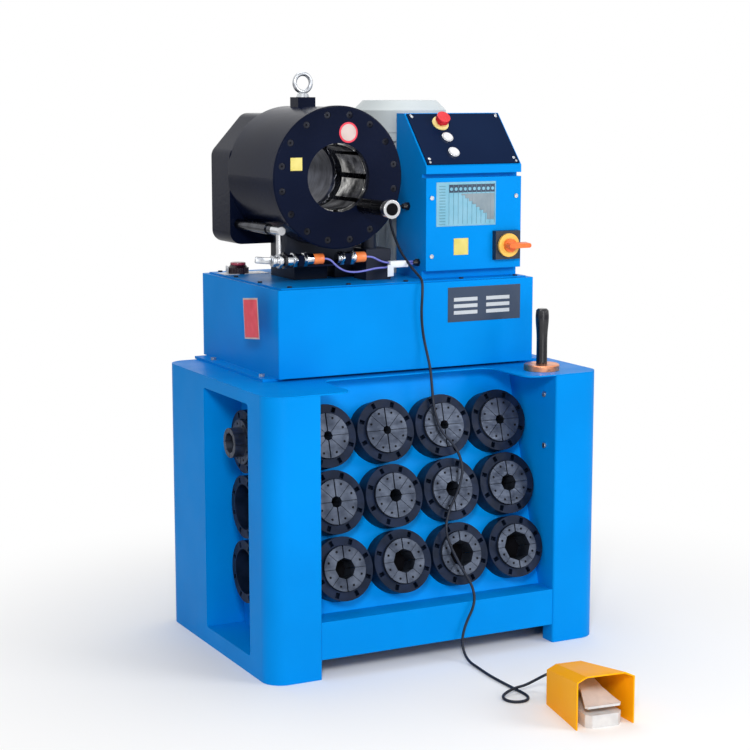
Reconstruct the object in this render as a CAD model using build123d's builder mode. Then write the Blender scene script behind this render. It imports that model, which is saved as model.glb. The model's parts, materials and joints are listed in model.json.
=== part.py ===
from build123d import *
import os
from math import cos, pi, radians, sin, sqrt, tan

os.makedirs("parts", exist_ok=True)

# Hose crimping machine on a die rack stand, in millimetres.
# X runs to the operator's right, Y to the back, Z up, with the floor at Z = 0.

# Clearances
running = 0.05
gap = 0.3
sheet = 3.0

# Dies and the rings that store them
ring_radius = 70.0
ring_spacing = 5.0
ring_depth = 46.0
ring_wall = 19.6
ring_slot_width = 9.0
ring_slot_depth = 14.0
ring_slot_reach = 12.0
die_radius = 49.5
die_proud = 7.0
die_pitch = 2 * ring_radius + ring_spacing
die_first_row = ring_radius + 21
die_columns = 4
narrow_slit = 0.8
wide_slit = 2.6
die_bores = [[44.0, 50.0, 55.0, 62.0], [24.0, 28.0, 34.0, 36.0], [20.0, 18.0, 20.0, 21.0]]
side_die_nose = 26.0
side_die_nose_radius = 33.0
side_die_bore = 44.0

# Die rack stand, as wide as the rings and two side shells and as high as the rows
column_width = 122.0
rack_side_gap = 1.0
alcove_width = die_columns * die_pitch + 2 * rack_side_gap
stand_width = alcove_width + 2 * column_width
stand_depth = 587.0
corner_radius = 45.0
inner_corner = 5.0
return_depth = 215.0
rail_bottom = 42.0
rail_top = 125.0
rail_setback = 3.0
rail_return = 30.0
ledge_depth = 63.0
rack_lean = 16.5
lean = radians(rack_lean)
rack_head = 132.13
rack_length = die_first_row + (len(die_bores) - 1) * die_pitch + rack_head
stand_height = round(rail_top + rack_length * cos(lean) + sheet, 1)
plate_edge_setback = 165.0
gusset_reach = 76.0
gusset_radius = 34.0
window_front = 107.0
window_back = 355.0
window_bottom = 40.0
window_top = stand_height - 28
pan_depth = column_width - 32
pan_wall = 2.0
side_ring_rows = 3
side_ring_pitch = 2 * ring_radius + 7
side_ring_top = window_top - ring_radius - 37
side_ring_heights = [side_ring_top - row * side_ring_pitch for row in reversed(range(side_ring_rows))]
side_ring_setback = 238.0

# Oil tank
tank_left = 107 - stand_width / 2
tank_right = stand_width / 2 - 72
tank_setback = 182.0
tank_back = stand_depth + 33
tank_height = 200.0
tank_top = stand_height + tank_height
tank_foot = 6.0
foot_width = 50.0
foot_inset = 20.0
lid_inset = 12.0
lid_plate = 3.0
tank_rim = 28.0
foot_bolt_front = 240.0
foot_bolt_back = tank_back - 100
filler_x = tank_left + 60
filler_setback = tank_back - 75
filler_radius = 25.0
filler_height = 20.0
filler_rim = 0.7
filler_neck = 14.0

# Foot switch, which stands on the floor in front
pedal_x = 82.0
pedal_reach = 519.0
pedal_turn = -6.2
hood_front_width = 129.0
hood_back_width = 99.0
hood_front_height = 108.0
hood_back_height = 84.0
hood_length = 163.0
hood_wall = 3.0
hood_slope_down = 10.0
hood_slope_in = 21.0
pedal_half = 40.0
pedal_corner = 11.0
pedal_base_height = 26.0
pedal_pin_radius = 4.0
pedal_pin_height = 66.0
pedal_pin_back = 126.0
pedal_pin_length = 70.0
pedal_cheek = 8.0
paddle_front_half = 40.0
paddle_waist_half = 24.0
paddle_waist = 62.0
pedal_gland_side = 30.0
pedal_gland_height = 50.0
pedal_gland_radius = 5.0
pedal_gland_length = 17.0
hood_overhang = hood_front_width / 2 * sin(radians(-pedal_turn))

# Places shared by several pieces
front = (pedal_reach + hood_overhang - tank_back) / 2
half_width = stand_width / 2
alcove_half = alcove_width / 2
shell_height = stand_height - sheet
tank_mid_x = (tank_left + tank_right) / 2
tank_width = tank_right - tank_left
tank_depth = tank_back - tank_setback
tank_mid_y = front + (tank_setback + tank_back) / 2
tank_floor = stand_height + tank_foot
lid_top = tank_top + lid_plate

# Crimping head
head_radius = 153.0
head_x = tank_left + 155
head_z = tank_top + head_radius + 86
head_setback = 200.0
head_length = 368.0
plate_radius = head_radius + 3
plate_thick = 16.0
block_start = 260.0
block_half = head_radius - 4
block_chamfer = 79.0
block_top = head_radius - 17
block_bottom = head_radius + 7
block_corner = 28.0
bore_radius = 75.0
sleeve_wall = 4.0
cylinder_radius = head_radius - 15
chamber_end = 300.0
shoe_count = 8
shoe_bore = 72.0
shoe_length = 114.0
shoe_front_size = 118.0
shoe_gap = 12.0
cone_angle = 14.0
stroke = 50.0
shoe_start = plate_thick + gap
shoe_end = shoe_start + shoe_length
piston_front = shoe_start + stroke + gap
piston_back = 240.0
piston_bore = bore_radius + sleeve_wall + running
cone_end = shoe_end + stroke + gap
sleeve_start = 186.0
head_screws = 16
head_screw_circle = 0.885 * plate_radius
head_screw_radius = 4.0
head_screw_head = 7.5
saddle_half = 85.0
saddle_front = 100.0
saddle_bottom = tank_top + 40
saddle_top = saddle_bottom + 75
pedestal_half = 42.0
pedestal_front = 157.0
eye_reach = 184.0
eye_block_size = 43.0
eye_block_top = head_z + head_radius + 20
eye_shank_radius = 6.0
eye_collar = 15.0
eye_ring_radius = 20.0
eye_wire = 5.0

# Switch gear and the closing-size adjuster on the head
bar_x = head_x - head_radius + 26
bar_z = head_z - head_radius + 39
bar_radius = 9.5
bar_sleeve_radius = 12.0
bar_front = 24.0
bar_sleeve_start = 92.0
arm_reach = 40.0
arm_half = 8.0
sensor_z = tank_top + 59
sensor_radius = 11.0
sensor_reach = 46.0
hub_radius = 12.0
wing_length = 44.0
adjuster_x = head_x + 60
adjuster_z = head_z - 63
barrel_radius = 16.5
barrel_length = 62.0
spindle_radius = 8.0
thimble_length = 74.0
thimble_radius = 16.5
bezel_radius = 20.0
bezel_length = 16.0

# Control box
box_left = tank_right - 266
box_right = tank_right - 16
door_setback = 215.0
door_depth = 20.0
box_back = 358.0
box_top = tank_top + 375
slope_back = 322.0
slope_low = box_top - 117
lip_bottom = slope_low - 17
door_bottom = tank_top + 22
door_top = lip_bottom - 9
door_screw_side = 14.0
door_screw_up = 33.0
door_screw_down = 45.0
box_wall = 2.0
panel_thick = 3.0
panel_inset = 4.0
control_x = box_left + 80.5
estop_along = 124.0
upper_along = 78.5
lower_along = 34.0
estop_disc_radius = 20.0
estop_disc_thick = 2.5
estop_head_radius = 16.0
estop_stem_radius = 11.0
estop_height = 27.0
estop_head = 12.0
estop_depth = 20.0
estop_shank = 14.0
estop_travel = 4.0
bezel_outer = 15.0
bezel_inner = 11.3
bezel_floor = 1.5
bezel_height = 7.0
cap_radius = 11.0
cap_height = 4.0
button_stem = 5.0
button_travel = 3.0
bezel_depth = 18.0
button_shank = 16.0
isolator_x = box_right - 42
isolator_z = tank_top + 75
isolator_size = 67.0
isolator_thick = 14.0
isolator_disc_radius = 27.0
isolator_disc_thick = 6.0
handle_hub_radius = 15.5
handle_hub_height = 8.0
handle_length = 61.0
handle_width = 14.0
handle_offset = 14.5
handle_height = 18.0
gland_radius = 8.0
gland_nut = 6.0
gland_nose = 9.0
gland_setback = 300.0
gland_z = tank_top + 165
sensor_gland_setback = 250.0
sensor_gland_z = tank_top + 40
door_screw_radius = 5.0
door_screw_height = 2.5
panel_screw_radius = 3.2
foot_bolt_size = 7.0

# Drive
motor_radius = 96.0
motor_rib_count = 24
motor_rib = 6.0
cowl_radius = motor_radius + 14.5
cowl_top_radius = cowl_radius - 23
cowl_top = tank_top + 404
cowl_shoulder = cowl_top - 23
cowl_start = cowl_shoulder - 51
motor_x = tank_right - 194
motor_setback = box_back + cowl_radius + 11.5
motor_flange_radius = motor_radius + 9
motor_flange_thick = 14.0
shaft_radius = 14.0
fan_radius = motor_radius - 12
fan_rise = 24.0
pump_radius = 44.0
pump_length = tank_height - 82

# Lift-out die tool on the right gusset
tool_x = half_width - 113
tool_setback = 77.0
tool_disc_radius = 40.5
tool_disc_thick = 14.0
tool_edge = 2.0
tool_grip_length = 126.0


def save(piece, name):
    piece.part.label = name
    export_step(piece.part, f"parts/{name}.step")


# Places on the sloping rack and on the head, whose axes run along Y
rack = Plane(
    origin=(0, front + ledge_depth, rail_top), x_dir=(1, 0, 0), z_dir=(0, -cos(lean), sin(lean))
)
rack_middle = die_first_row + die_pitch
ring_bore = ring_radius - ring_wall


def head_plane(reach, x=head_x, z=head_z):
    """A plane across the head's axis, facing back, reach behind the front plate's face."""
    return Plane(origin=(x, front + head_setback + reach, z), x_dir=(-1, 0, 0), z_dir=(0, 1, 0))


# Stand: two folded side shells
def make_side_shell(side):
    near = side * alcove_half
    mid = side * (alcove_half + half_width) / 2
    with BuildPart() as shell:
        with BuildSketch() as outline:
            with Locations((mid, front + stand_depth / 2)):
                Rectangle(half_width - alcove_half, stand_depth)
            outer = outline.vertices().group_by(Axis.X)[-1 if side > 0 else 0]
            fillet(outer, corner_radius)
            inner = outline.vertices().group_by(Axis.X)[0 if side > 0 else -1]
            fillet(inner.sort_by(Axis.Y)[0], inner_corner)
        extrude(amount=shell_height)
        with BuildSketch():
            add(outline.sketch)
            offset(amount=-sheet)
        extrude(amount=shell_height, mode=Mode.SUBTRACT)
        open_back = stand_depth - sheet - return_depth
        with BuildSketch():
            with Locations((near, front + return_depth + open_back / 2)):
                Rectangle(2 * sheet + 1, open_back)
        extrude(amount=shell_height, mode=Mode.SUBTRACT)
        foot_back = return_depth - plate_edge_setback / 4
        with BuildSketch():
            with Locations((near, front + plate_edge_setback / 4 + foot_back / 2)):
                Rectangle(2 * sheet + 1, foot_back)
        extrude(amount=rail_bottom, mode=Mode.SUBTRACT)
        with BuildSketch(Plane.YZ.offset(side * (half_width - sheet / 2))):
            with Locations((front + (window_front + window_back) / 2, (window_bottom + window_top) / 2)):
                RectangleRounded(window_back - window_front, window_top - window_bottom, 8)
        extrude(amount=sheet, both=True, mode=Mode.SUBTRACT)
    return shell


left_side_shell = make_side_shell(-1)
save(left_side_shell, "left_side_shell")
right_side_shell = make_side_shell(1)
save(right_side_shell, "right_side_shell")

# Top plate, with a gusset reaching forward over the rack on each side
with BuildPart() as top_plate:
    with BuildSketch(Plane.XY.offset(shell_height)) as plate_outline:
        with Locations((0, front + stand_depth / 2)):
            Rectangle(stand_width, stand_depth)
        fillet(plate_outline.vertices(), corner_radius)
        gusset_half = alcove_half - gusset_reach
        scoop_depth = plate_edge_setback + sheet
        with BuildSketch(mode=Mode.PRIVATE) as scoop:
            with Locations((0, front + plate_edge_setback - scoop_depth)):
                Rectangle(2 * gusset_half, 2 * scoop_depth)
            back_corners = scoop.vertices().group_by(Axis.Y)[-1]
            fillet(back_corners, gusset_radius)
        add(scoop.sketch, mode=Mode.SUBTRACT)
        tips = plate_outline.vertices().filter_by_position(
            Axis.X, -gusset_half - 1, gusset_half + 1
        ).group_by(Axis.Y)[0]
        fillet(tips, gusset_radius)
    extrude(amount=sheet)
save(top_plate, "top_plate")

# Sloping rack panel and the rail under it
with BuildPart() as rack_panel:
    with BuildSketch(Plane.YZ):
        panel_back = sheet / cos(lean)
        rise = shell_height - rail_top
        with BuildLine():
            Polyline(
                (front + ledge_depth, rail_top),
                (front + ledge_depth + panel_back, rail_top),
                (front + ledge_depth + panel_back + rise * tan(lean), shell_height),
                (front + ledge_depth + rise * tan(lean), shell_height),
                close=True,
            )
        make_face()
    extrude(amount=alcove_half, both=True)
save(rack_panel, "rack_panel")

with BuildPart() as bottom_rail:
    ledge_back = ledge_depth + sheet / cos(lean) + sheet
    with BuildSketch(Plane.YZ):
        with BuildLine():
            Polyline(
                (front + rail_return, rail_bottom),
                (front + rail_setback, rail_bottom),
                (front + rail_setback, rail_top),
                (front + ledge_back, rail_top),
                (front + ledge_back, rail_top - sheet),
                (front + rail_setback + sheet, rail_top - sheet),
                (front + rail_setback + sheet, rail_bottom + sheet),
                (front + rail_return, rail_bottom + sheet),
                close=True,
            )
        make_face()
    extrude(amount=alcove_half, both=True)
    fold = bottom_rail.edges().filter_by(Axis.X).group_by(Axis.Y)[0]
    fillet(fold, sheet / 2)
save(bottom_rail, "bottom_rail")

# Back panel with a row of vent slots
with BuildPart() as back_panel:
    back_plane = Plane.XZ.offset(-(front + stand_depth - sheet))
    with BuildSketch(back_plane):
        with Locations((0, (rail_bottom + shell_height) / 2)):
            Rectangle(alcove_width + 2 * inner_corner, shell_height - rail_bottom)
        with Locations((0, stand_height * 0.72)):
            with GridLocations(0, 22, 1, 6):
                SlotOverall(220, 8, mode=Mode.SUBTRACT)
    extrude(amount=sheet)
save(back_panel, "back_panel")

# Recessed side pans that carry the side rings
with BuildPart() as rack_pans:
    pan_outer = half_width - sheet
    for side in (-1, 1):
        mid_x = side * (pan_outer - pan_depth / 2)
        mid_y = front + (window_front + window_back) / 2
        mid_z = (window_bottom + window_top) / 2
        with Locations((mid_x, mid_y, mid_z)):
            Box(pan_depth, window_back - window_front + 2 * pan_wall, window_top - window_bottom + 2 * pan_wall)
        with Locations((mid_x + side * pan_wall, mid_y, mid_z)):
            Box(pan_depth, window_back - window_front, window_top - window_bottom, mode=Mode.SUBTRACT)
save(rack_pans, "rack_pans")


# Storage rings: a moulded collar with a ring of pockets in its face
def ring_profile():
    Circle(ring_radius)
    Circle(ring_bore, mode=Mode.SUBTRACT)


def ring_pockets():
    with PolarLocations((ring_bore + ring_radius) / 2, 8, start_angle=22.5):
        Rectangle(ring_slot_reach, ring_slot_width)


with BuildPart() as front_rings:
    with BuildSketch(rack):
        with Locations((0, rack_middle)):
            with GridLocations(die_pitch, die_pitch, die_columns, len(die_bores)):
                ring_profile()
    extrude(amount=ring_depth)
    with BuildSketch(rack.offset(ring_depth)):
        with Locations((0, rack_middle)):
            with GridLocations(die_pitch, die_pitch, die_columns, len(die_bores)):
                ring_pockets()
    extrude(amount=-ring_slot_depth, mode=Mode.SUBTRACT)
save(front_rings, "front_rings")


def side_plane(side, height):
    """The face of a side pan's back plate, facing out, centred on one ring."""
    x = side * (half_width - sheet - pan_depth + pan_wall)
    return Plane(origin=(x, front + side_ring_setback, height), x_dir=(0, side, 0), z_dir=(side, 0, 0))


with BuildPart() as side_rings:
    for side in (-1, 1):
        for height in side_ring_heights:
            with BuildSketch(side_plane(side, height)):
                ring_profile()
            extrude(amount=ring_depth)
            with BuildSketch(side_plane(side, height).offset(ring_depth)):
                ring_pockets()
            extrude(amount=-ring_slot_depth, mode=Mode.SUBTRACT)
save(side_rings, "side_rings")


# Die sets: eight jaws round an eight-sided bore, with a wide slit at top and bottom
def jaw_slits(length):
    for angle in (0, 45, 135):
        Rectangle(length, narrow_slit, rotation=angle)
    Rectangle(length, wide_slit, rotation=90)


with BuildPart() as front_die_sets:
    for row, bores in enumerate(die_bores):
        for column, bore in enumerate(bores):
            across = (column - (die_columns - 1) / 2) * die_pitch
            with BuildSketch(rack) as jaws:
                with Locations((across, die_first_row + row * die_pitch)):
                    Circle(die_radius)
                    RegularPolygon(bore / 2, 8, major_radius=False, mode=Mode.SUBTRACT)
                    with BuildSketch(mode=Mode.PRIVATE) as slits:
                        jaw_slits(2 * die_radius + 2)
                    add(slits.sketch, mode=Mode.SUBTRACT)
            extrude(amount=ring_depth + die_proud)
save(front_die_sets, "front_die_sets")

with BuildPart() as side_die_set:
    side_die = side_plane(-1, side_ring_heights[-1])
    with BuildSketch(side_die.offset(gap)):
        Circle(die_radius)
    extrude(amount=ring_depth + die_proud - gap)
    with BuildSketch(side_die.offset(ring_depth + die_proud)):
        Circle(side_die_nose_radius)
    extrude(amount=side_die_nose)
    with BuildSketch(side_die.offset(gap)):
        RegularPolygon(side_die_bore / 2, 8, major_radius=False)
        jaw_slits(2 * die_radius + 2)
    extrude(amount=ring_depth + die_proud + side_die_nose, mode=Mode.SUBTRACT)
save(side_die_set, "side_die_set")

# Oil tank, open under its lid, on two foot strips
with BuildPart() as tank_body:
    with BuildSketch(Plane.XY.offset(tank_floor)) as tank_outline:
        with Locations((tank_mid_x, tank_mid_y)):
            Rectangle(tank_width, tank_depth)
        fillet(tank_outline.vertices(), sheet)
    extrude(amount=tank_top - tank_floor)
    with BuildSketch(Plane.XY.offset(tank_floor + sheet)):
        with Locations((tank_mid_x, tank_mid_y)):
            Rectangle(tank_width - 2 * sheet, tank_depth - 2 * sheet)
    extrude(amount=tank_top - tank_floor - 2 * sheet, mode=Mode.SUBTRACT)
    with BuildSketch(Plane.XY.offset(tank_top - sheet)):
        with Locations((tank_mid_x, tank_mid_y)):
            Rectangle(tank_width - 2 * tank_rim, tank_depth - 2 * tank_rim)
    extrude(amount=sheet, mode=Mode.SUBTRACT)
    with BuildSketch(Plane.XY.offset(stand_height)):
        for edge, side in ((tank_left, -1), (tank_right, 1)):
            with Locations((edge + side * (foot_width / 2 - foot_inset), tank_mid_y)):
                Rectangle(foot_width, tank_depth - 2 * foot_inset)
    extrude(amount=tank_foot)
save(tank_body, "tank_body")

with BuildPart() as tank_lid:
    with BuildSketch(Plane.XY.offset(tank_top)):
        with Locations((tank_mid_x, tank_mid_y)):
            RectangleRounded(tank_width - 2 * lid_inset, tank_depth - 2 * lid_inset, 4)
        with Locations((filler_x, front + filler_setback)):
            Circle(filler_neck + gap, mode=Mode.SUBTRACT)
        with Locations((motor_x, front + motor_setback)):
            Circle(pump_radius - 8, mode=Mode.SUBTRACT)
    extrude(amount=lid_plate)
save(tank_lid, "tank_lid")

# Filler cap: a ribbed rim, a low dome and a neck through the lid
with BuildPart() as filler_cap:
    with BuildSketch(Plane.XY.offset(lid_top + gap)):
        with Locations((filler_x, front + filler_setback)):
            Circle(filler_radius)
            with PolarLocations(filler_radius, 24):
                Circle(1.6, mode=Mode.SUBTRACT)
    extrude(amount=filler_height * filler_rim)
    with BuildSketch(Plane.XY.offset(lid_top + gap + filler_height * filler_rim)):
        with Locations((filler_x, front + filler_setback)):
            Circle(filler_radius - 2.5)
    extrude(amount=filler_height * (1 - filler_rim), taper=35)
    with BuildSketch(Plane.XY.offset(lid_top + gap)):
        with Locations((filler_x, front + filler_setback)):
            Circle(filler_neck)
    extrude(amount=-(lid_plate + 14))
save(filler_cap, "filler_cap")

# Motor: ribbed housing on a flange, cowl over the fan, rotor through both
with BuildPart() as motor_housing:
    motor_at = (motor_x, front + motor_setback)
    with BuildSketch(Plane.XY.offset(lid_top)):
        with Locations(motor_at):
            Circle(motor_flange_radius)
    extrude(amount=motor_flange_thick)
    housing_base = lid_top + motor_flange_thick
    with BuildSketch(Plane.XY.offset(housing_base)):
        with Locations(motor_at):
            Circle(motor_radius)
            with PolarLocations(motor_radius, motor_rib_count):
                Rectangle(2 * motor_rib, 2.5)
    extrude(amount=cowl_start - 20 - housing_base)
    with BuildSketch(Plane.XY.offset(cowl_start - 20)):
        with Locations(motor_at):
            Circle(cowl_radius - sheet)
    extrude(amount=20 + 16)
    with BuildSketch(Plane.XY.offset(lid_top)):
        with Locations(motor_at):
            Circle(shaft_radius + running)
    extrude(amount=cowl_top - lid_top, mode=Mode.SUBTRACT)
save(motor_housing, "motor_housing")

with BuildPart() as motor_cowl:
    with BuildSketch(Plane(origin=(motor_x, front + motor_setback, 0), x_dir=(1, 0, 0), z_dir=(0, -1, 0))):
        with BuildLine():
            Polyline(
                (cowl_radius, cowl_start),
                (cowl_radius, cowl_shoulder),
                (cowl_top_radius, cowl_top),
                (0, cowl_top),
                (0, cowl_top - sheet),
                (cowl_top_radius - 1.2, cowl_top - sheet),
                (cowl_radius - sheet, cowl_shoulder - 1.2),
                (cowl_radius - sheet, cowl_start),
                close=True,
            )
        make_face()
    revolve(axis=Axis((motor_x, front + motor_setback, 0), (0, 0, 1)))
save(motor_cowl, "motor_cowl")

with BuildPart() as motor_rotor:
    shaft_bottom = lid_top - lid_plate - 20
    with BuildSketch(Plane.XY.offset(shaft_bottom)):
        with Locations(motor_at):
            Circle(shaft_radius)
    fan_base = cowl_start + fan_rise
    extrude(amount=fan_base + fan_rise - shaft_bottom)
    with BuildSketch(Plane.XY.offset(fan_base)):
        with Locations(motor_at):
            Circle(fan_radius)
    extrude(amount=2.5)
    with BuildSketch(Plane.XY.offset(fan_base + 2.5)):
        with Locations(motor_at):
            with PolarLocations((fan_radius + shaft_radius) / 2, 8):
                Rectangle(fan_radius - shaft_radius - 2, 2.5)
    extrude(amount=18)
save(motor_rotor, "motor_rotor")

with BuildPart() as pump:
    pump_top = shaft_bottom - gap
    with BuildSketch(Plane.XY.offset(pump_top - pump_length)):
        with Locations(motor_at):
            Circle(pump_radius)
    extrude(amount=pump_length)
    with BuildSketch(Plane.XY.offset(pump_top)):
        with Locations(motor_at):
            Circle(pump_radius)
            Circle(shaft_radius + 6, mode=Mode.SUBTRACT)
    extrude(amount=tank_top - pump_top)
save(pump, "pump")

# Crimping head: pedestal and saddle
with BuildPart() as pedestal:
    saddle_back = head_length - 8
    with BuildSketch(Plane.XY.offset(lid_top)):
        with Locations((head_x, front + head_setback + (pedestal_front + saddle_back) / 2)):
            RectangleRounded(2 * pedestal_half, saddle_back - pedestal_front, 6)
    extrude(amount=saddle_bottom - lid_top)
    with BuildSketch(Plane.XY.offset(saddle_bottom)):
        with Locations((head_x, front + head_setback + (saddle_front + saddle_back) / 2)):
            RectangleRounded(2 * saddle_half, saddle_back - saddle_front, 8)
    extrude(amount=saddle_top - saddle_bottom)
    with BuildSketch(head_plane(0)):
        Circle(head_radius)
    extrude(amount=head_length, mode=Mode.SUBTRACT)
    with BuildSketch(head_plane(block_start)):
        Rectangle(4 * saddle_half, 2 * block_bottom)
    extrude(amount=head_length, mode=Mode.SUBTRACT)
save(pedestal, "pedestal")

# Head body: cylinder in front, chamfered block behind, lifting boss on top
with BuildPart() as head_body:
    with BuildSketch(head_plane(plate_thick)):
        Circle(head_radius)
    extrude(amount=block_start - plate_thick)
    with BuildSketch(head_plane(block_start)) as block_outline:
        with BuildLine():
            Polyline(
                (-block_half, -block_bottom),
                (block_half, -block_bottom),
                (block_half, block_top - block_chamfer - 9),
                (block_half - block_chamfer, block_top),
                (block_chamfer - block_half, block_top),
                (-block_half, block_top - block_chamfer - 9),
                close=True,
            )
        make_face()
        fillet(block_outline.vertices().group_by(Axis.Z)[0], block_corner)
    extrude(amount=head_length - block_start)
    eye_y = front + head_setback + eye_reach
    with BuildSketch(Plane.XY.offset(head_z + head_radius / 2)):
        with Locations((head_x, eye_y)):
            Rectangle(eye_block_size, eye_block_size)
    extrude(amount=eye_block_top - head_z - head_radius / 2)
    with BuildSketch(head_plane(plate_thick)):
        Circle(cylinder_radius)
    extrude(amount=chamber_end - plate_thick, mode=Mode.SUBTRACT)
    with BuildSketch(head_plane(chamber_end)):
        Circle(bore_radius + sleeve_wall)
    extrude(amount=head_length, mode=Mode.SUBTRACT)
    with BuildSketch(Plane.XY.offset(eye_block_top)):
        with Locations((head_x, eye_y)):
            Circle(eye_shank_radius)
    extrude(amount=-18, mode=Mode.SUBTRACT)
save(head_body, "head_body")

with BuildPart() as front_plate:
    with BuildSketch(head_plane(0)):
        Circle(plate_radius)
        Circle(bore_radius, mode=Mode.SUBTRACT)
        with PolarLocations(head_screw_circle, head_screws, start_angle=11.25):
            Circle(head_screw_radius + gap, mode=Mode.SUBTRACT)
    extrude(amount=plate_thick)
    with BuildSketch(head_plane(0)):
        with PolarLocations(head_screw_circle, head_screws, start_angle=11.25):
            Circle(head_screw_head + gap)
    extrude(amount=6, mode=Mode.SUBTRACT)
    rim = front_plate.edges().filter_by(GeomType.CIRCLE).group_by(Axis.Y)[0].sort_by(SortBy.RADIUS)[-1]
    chamfer(rim, 3)
save(front_plate, "front_plate")

with BuildPart() as head_screw_set:
    with BuildSketch(head_plane(1)):
        with PolarLocations(head_screw_circle, head_screws, start_angle=11.25):
            Circle(head_screw_head)
    extrude(amount=5)
    with BuildSketch(head_plane(6)):
        with PolarLocations(head_screw_circle, head_screws, start_angle=11.25):
            Circle(head_screw_radius)
    extrude(amount=plate_thick - 6)
save(head_screw_set, "head_screws")

with BuildPart() as bore_sleeve:
    with BuildSketch(head_plane(sleeve_start)):
        Circle(bore_radius + sleeve_wall)
        Circle(bore_radius, mode=Mode.SUBTRACT)
    extrude(amount=head_length - sleeve_start)
save(bore_sleeve, "bore_sleeve")


# Ring piston with an eight-sided cone, and the eight master shoes that ride in it
def cone_size(reach):
    """Distance from the axis to the shoes' wedge faces, reach behind the front face."""
    return shoe_front_size - (reach - shoe_start) * tan(radians(cone_angle))


seat = gap / cos(radians(cone_angle))

with BuildPart() as piston:
    with BuildSketch(head_plane(piston_front)):
        Circle(cylinder_radius - running)
    extrude(amount=piston_back - piston_front)
    with BuildSketch(head_plane(piston_front)):
        RegularPolygon(cone_size(piston_front) + seat, shoe_count, major_radius=False)
    with BuildSketch(head_plane(cone_end)):
        RegularPolygon(cone_size(cone_end) + seat, shoe_count, major_radius=False)
    loft(mode=Mode.SUBTRACT)
    with BuildSketch(head_plane(piston_front)):
        Circle(piston_bore)
    extrude(amount=piston_back - piston_front, mode=Mode.SUBTRACT)
save(piston, "piston")

for index in range(shoe_count):
    angle = 360 / shoe_count * (index + 0.5)
    along = head_plane(0)
    with BuildPart() as shoe:
        for reach in (shoe_start, shoe_end):
            with BuildSketch(head_plane(reach)):
                size = cone_size(reach)
                half = size * tan(radians(180 / shoe_count)) - shoe_gap / 2
                with Locations(Location((0, 0), angle)):
                    with BuildLine(mode=Mode.PRIVATE) as wedge:
                        Polyline(
                            (shoe_bore * 0.9, -shoe_bore * 0.9 * tan(radians(180 / shoe_count)) + shoe_gap / 2),
                            (size, -half),
                            (size, half),
                            (shoe_bore * 0.9, shoe_bore * 0.9 * tan(radians(180 / shoe_count)) - shoe_gap / 2),
                            close=True,
                        )
                    add(wedge.line)
                make_face()
        loft()
        with BuildSketch(head_plane(shoe_start)):
            Circle(shoe_bore)
        extrude(amount=shoe_length, mode=Mode.SUBTRACT)
    save(shoe, f"shoe_{index + 1}")

# Eye bolt
with BuildPart() as eye_bolt:
    ring_z = eye_block_top + 7 + eye_ring_radius + eye_wire
    with BuildSketch(Plane.XY.offset(eye_block_top - 16)):
        with Locations((head_x, eye_y)):
            Circle(eye_shank_radius - running)
    extrude(amount=16)
    with BuildSketch(Plane.XY.offset(eye_block_top)):
        with Locations((head_x, eye_y)):
            Circle(eye_collar)
    extrude(amount=8, taper=20)
    with BuildSketch(Plane.XY.offset(ring_z)):
        with Locations((head_x + eye_ring_radius, eye_y)):
            Circle(eye_wire)
    revolve(axis=Axis((head_x, eye_y, ring_z), (0, 1, 0)))
save(eye_bolt, "eye_bolt")

# Switch bar beside the head, its hanging arm and wing lever
with BuildPart() as stop_bar:
    with BuildSketch(head_plane(bar_front, bar_x, bar_z)):
        Circle(bar_radius)
    extrude(amount=bar_sleeve_start - bar_front)
    with BuildSketch(head_plane(bar_sleeve_start, bar_x, bar_z)):
        Circle(bar_sleeve_radius)
    extrude(amount=block_start - bar_sleeve_start)
    with BuildSketch(Plane.XY.offset(sensor_z)):
        with Locations((bar_x, front + head_setback + arm_reach)):
            Circle(arm_half - 2)
    extrude(amount=bar_z - sensor_z)
    with BuildSketch(Plane.YZ.offset(bar_x - arm_half)):
        with Locations((front + head_setback + arm_reach, sensor_z)):
            Circle(hub_radius)
    extrude(amount=2 * arm_half)
save(stop_bar, "stop_bar")

with BuildPart() as wing_lever:
    wing_end = bar_x - arm_half - gap
    with BuildSketch(Plane.YZ.offset(wing_end)):
        with Locations((front + head_setback + arm_reach, sensor_z)):
            Circle(hub_radius - 3)
    extrude(amount=-10)
    with BuildSketch(Plane.XY.offset(sensor_z)):
        with Locations((wing_end - 6 - wing_length / 2, front + head_setback + arm_reach)):
            SlotOverall(wing_length, 12)
    extrude(amount=3, both=True)
save(wing_lever, "wing_lever")

# Two proximity sensors in a row under the head, and the bracket that clamps them
left_sensor_start = bar_x + arm_half + 10
left_sensor_end = head_x - 43
right_sensor_start = head_x + 16
right_sensor_end = head_x + 61
sensor_cap = 26.0
clamp_places = [(left_sensor_start + left_sensor_end) / 2, (right_sensor_start + right_sensor_end) / 2]
sensor_y = front + head_setback + sensor_reach

with BuildPart() as sensors:
    for start, end in ((left_sensor_start, left_sensor_end), (right_sensor_start, right_sensor_end)):
        with BuildSketch(Plane.YZ.offset(start)):
            with Locations((sensor_y, sensor_z)):
                Circle(sensor_radius)
        extrude(amount=end - start)
        with BuildSketch(Plane.YZ.offset(end)):
            with Locations((sensor_y, sensor_z)):
                Circle(sensor_radius - 3)
        extrude(amount=sensor_cap)
save(sensors, "sensors")

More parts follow.
